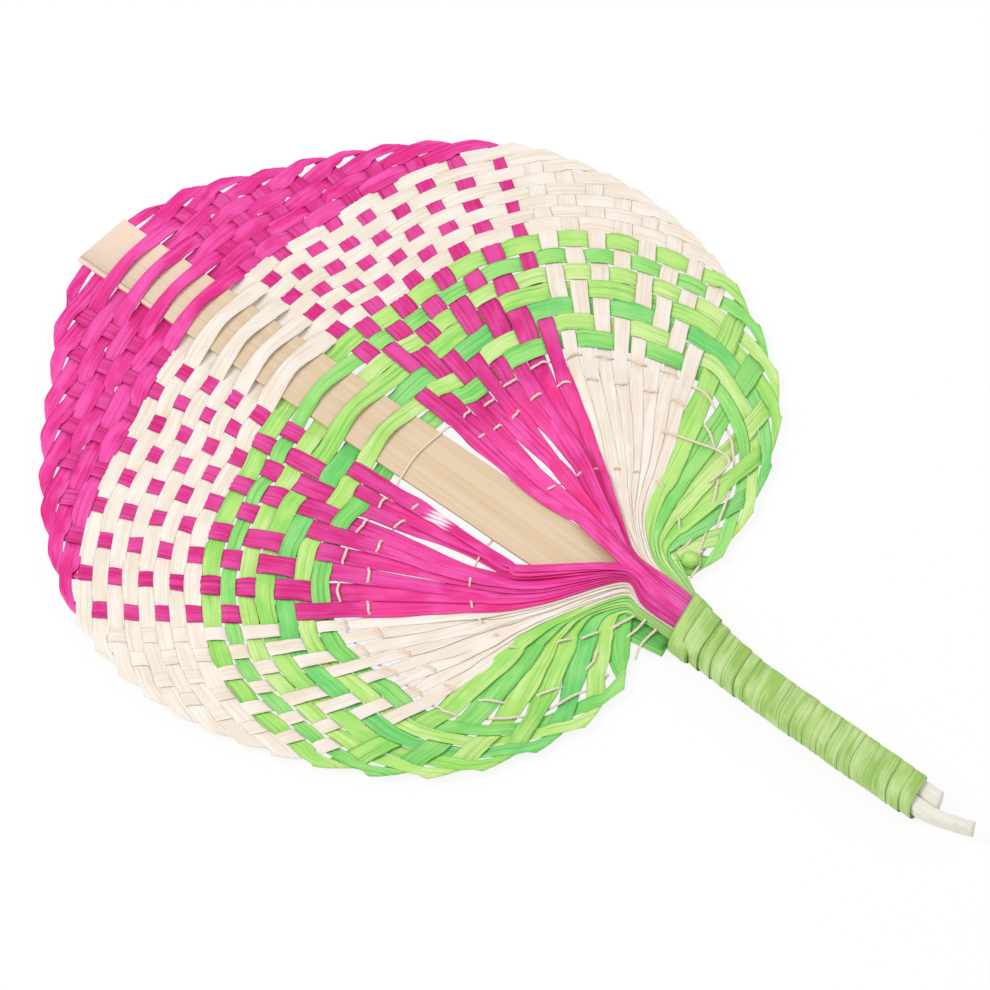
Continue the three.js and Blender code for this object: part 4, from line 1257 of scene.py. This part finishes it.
class FAN_OT_sticks(bpy.types.Operator):
    """Set the bare core sticks"""

    bl_idname = "fan.sticks"
    bl_label = "Core sticks"

    def execute(self, context):
        material = stick_finish(context.scene.fan_colours.stick, "#D8CCBC")
        low, high = SLAT_FACE + 0.3, CORE_HEIGHT - SLAT_FACE
        y = np.linspace(GRIP_TOP, STICK_END, 90)
        bare = np.clip((GRIP_END - y) / (GRIP_END - STICK_END), 0, 1)
        beside = SHORT_STICK_END - 0.4
        past = np.clip((beside - y) / (beside - STICK_END), 0, 1)
        left = -CORE_WIDTH / 2 - 0.6 * smooth(bare / 0.15) + 5.6 * bare**1.9
        right = SPLIT_X - 0.15 + 3.7 * past**1.25
        piece = lofted("bare_long_stick", stick_rings(y, left, right, low, high, cut=0.5))
        seat(piece, material, "stick", "long_stick")
        y = np.linspace(GRIP_TOP, SHORT_STICK_END, 70)
        left = np.full(len(y), SPLIT_X)
        right = np.full(len(y), CORE_WIDTH / 2)
        piece = lofted("bare_short_stick", stick_rings(y, left, right, low, high, cut=0.35))
        seat(piece, material, "stick", "short_stick")
        return {"FINISHED"}


def aimed(name, data, place, target):
    """A lamp or camera at a place, looking at a target."""
    made = bpy.data.objects.new(name, data)
    made.location = place
    made.rotation_mode = "QUATERNION"
    made.rotation_quaternion = (Vector(target) - Vector(place)).to_track_quat("-Z", "Y")
    bpy.context.scene.collection.objects.link(made)
    return made


def soft_lamp(name, place, power):
    """A large round lamp over the fan."""
    data = bpy.data.lights.new(name, "AREA")
    data.shape = "DISK"
    data.size = LAMP_SIZE
    data.energy = power
    aimed(name, data, place, (0, 0, 0))


def pale_floor(colour):
    """A plain floor that looks nearly as bright as its own colour to the camera, in gloss and through glass."""
    material = bpy.data.materials.new("pale_floor")
    material.use_nodes = True
    made = Nodes(material.node_tree)
    made.tree.nodes.clear()
    rays = made.node("ShaderNodeLightPath").outputs
    seen = made.math("MAXIMUM", rays["Is Camera Ray"], rays["Is Glossy Ray"])
    seen = made.math("MAXIMUM", seen, rays["Is Transmission Ray"])
    plain = made.node("ShaderNodeBsdfDiffuse", {"Color": (*colour, 1.0)}).outputs[0]
    bright = made.node("ShaderNodeEmission", {"Color": (*colour, 1.0)}).outputs[0]
    both = made.node("ShaderNodeMixShader", {0: made.times(seen, FLOOR_BRIGHT), 1: plain, 2: bright})
    made.node("ShaderNodeOutputMaterial", {"Surface": both.outputs[0]})
    return material


def studio(strength):
    """Even white light of some strength, which the camera itself sees as white."""
    world = bpy.data.worlds.new("studio")
    world.use_nodes = True
    made = Nodes(world.node_tree)
    sky = made.tree.nodes["Background"]
    sky.inputs["Color"].default_value = (1.0, 1.0, 1.0, 1.0)
    seen = made.node("ShaderNodeLightPath").outputs["Is Camera Ray"]
    level = made.node("ShaderNodeMapRange", {"Value": seen, "To Min": strength, "To Max": 1.0})
    made.feed(sky.inputs["Strength"], level.outputs[0])
    return world


class FAN_OT_stage(bpy.types.Operator):
    """Set the floor, the light and the camera"""

    bl_idname = "fan.stage"
    bl_label = "Stage"

    def execute(self, context):
        scene, settings = context.scene, context.scene.fan_stage
        scene.view_settings.view_transform = "Standard"
        mesh = bpy.data.meshes.new("floor")
        corners = np.array(((-1, -1), (1, -1), (1, 1), (-1, 1))) * FLOOR_REACH
        mesh.from_pydata(np.column_stack([corners, np.full(4, -FLOOR_DROP)]), [], [[0, 1, 2, 3]])
        floor = bpy.data.objects.new("floor", mesh)
        scene.collection.objects.link(floor)
        mesh.materials.append(pale_floor(settings.floor))
        scene.world = studio(settings.sky)
        soft_lamp("key_lamp", KEY_PLACE, settings.key)
        soft_lamp("fill_lamp", FILL_PLACE, settings.fill)
        camera = bpy.data.cameras.new("camera")
        camera.lens = settings.lens
        camera.sensor_width = SENSOR_WIDTH
        camera.clip_start, camera.clip_end = 0.1, 50.0
        place, target = [np.array(point) / MM + BLADE_ORIGIN for point in (CAMERA_PLACE, CAMERA_TARGET)]
        scene.camera = aimed("camera", camera, place, target)
        return {"FINISHED"}


MAKERS = (
    FAN_OT_slat,
    FAN_OT_pink_strips,
    FAN_OT_natural_strips,
    FAN_OT_green_strips,
    FAN_OT_threads,
    FAN_OT_collar,
    FAN_OT_winding,
    FAN_OT_sticks,
    FAN_OT_stage,
)


SETTINGS = {
    "fan_weave": FanWeaveSettings,
    "fan_colours": FanColourSettings,
    "fan_handle": FanHandleSettings,
    "fan_stage": FanStageSettings,
}


class FAN_PT_panel(bpy.types.Panel):
    """Steps of the hand fan"""

    bl_idname = "FAN_PT_panel"
    bl_label = "Hand Fan"
    bl_space_type = "VIEW_3D"
    bl_region_type = "UI"
    bl_category = "Hand Fan"

    def draw(self, context):
        column = self.layout.column()
        for name in SETTINGS:
            settings = getattr(context.scene, name)
            for key in settings.__annotations__:
                column.prop(settings, key)
        for maker in MAKERS:
            column.operator(maker.bl_idname)


CLASSES = (*SETTINGS.values(), *MAKERS, FAN_PT_panel)
register_classes, unregister_classes = bpy.utils.register_classes_factory(CLASSES)


def register():
    register_classes()
    for name, settings in SETTINGS.items():
        setattr(bpy.types.Scene, name, bpy.props.PointerProperty(type=settings))


def unregister():
    for name in SETTINGS:
        delattr(bpy.types.Scene, name)
    unregister_classes()


def main():
    register()
    for maker in MAKERS:
        group, name = maker.bl_idname.split(".")
        getattr(getattr(bpy.ops, group), name)()


if __name__ == "__main__":
    main()
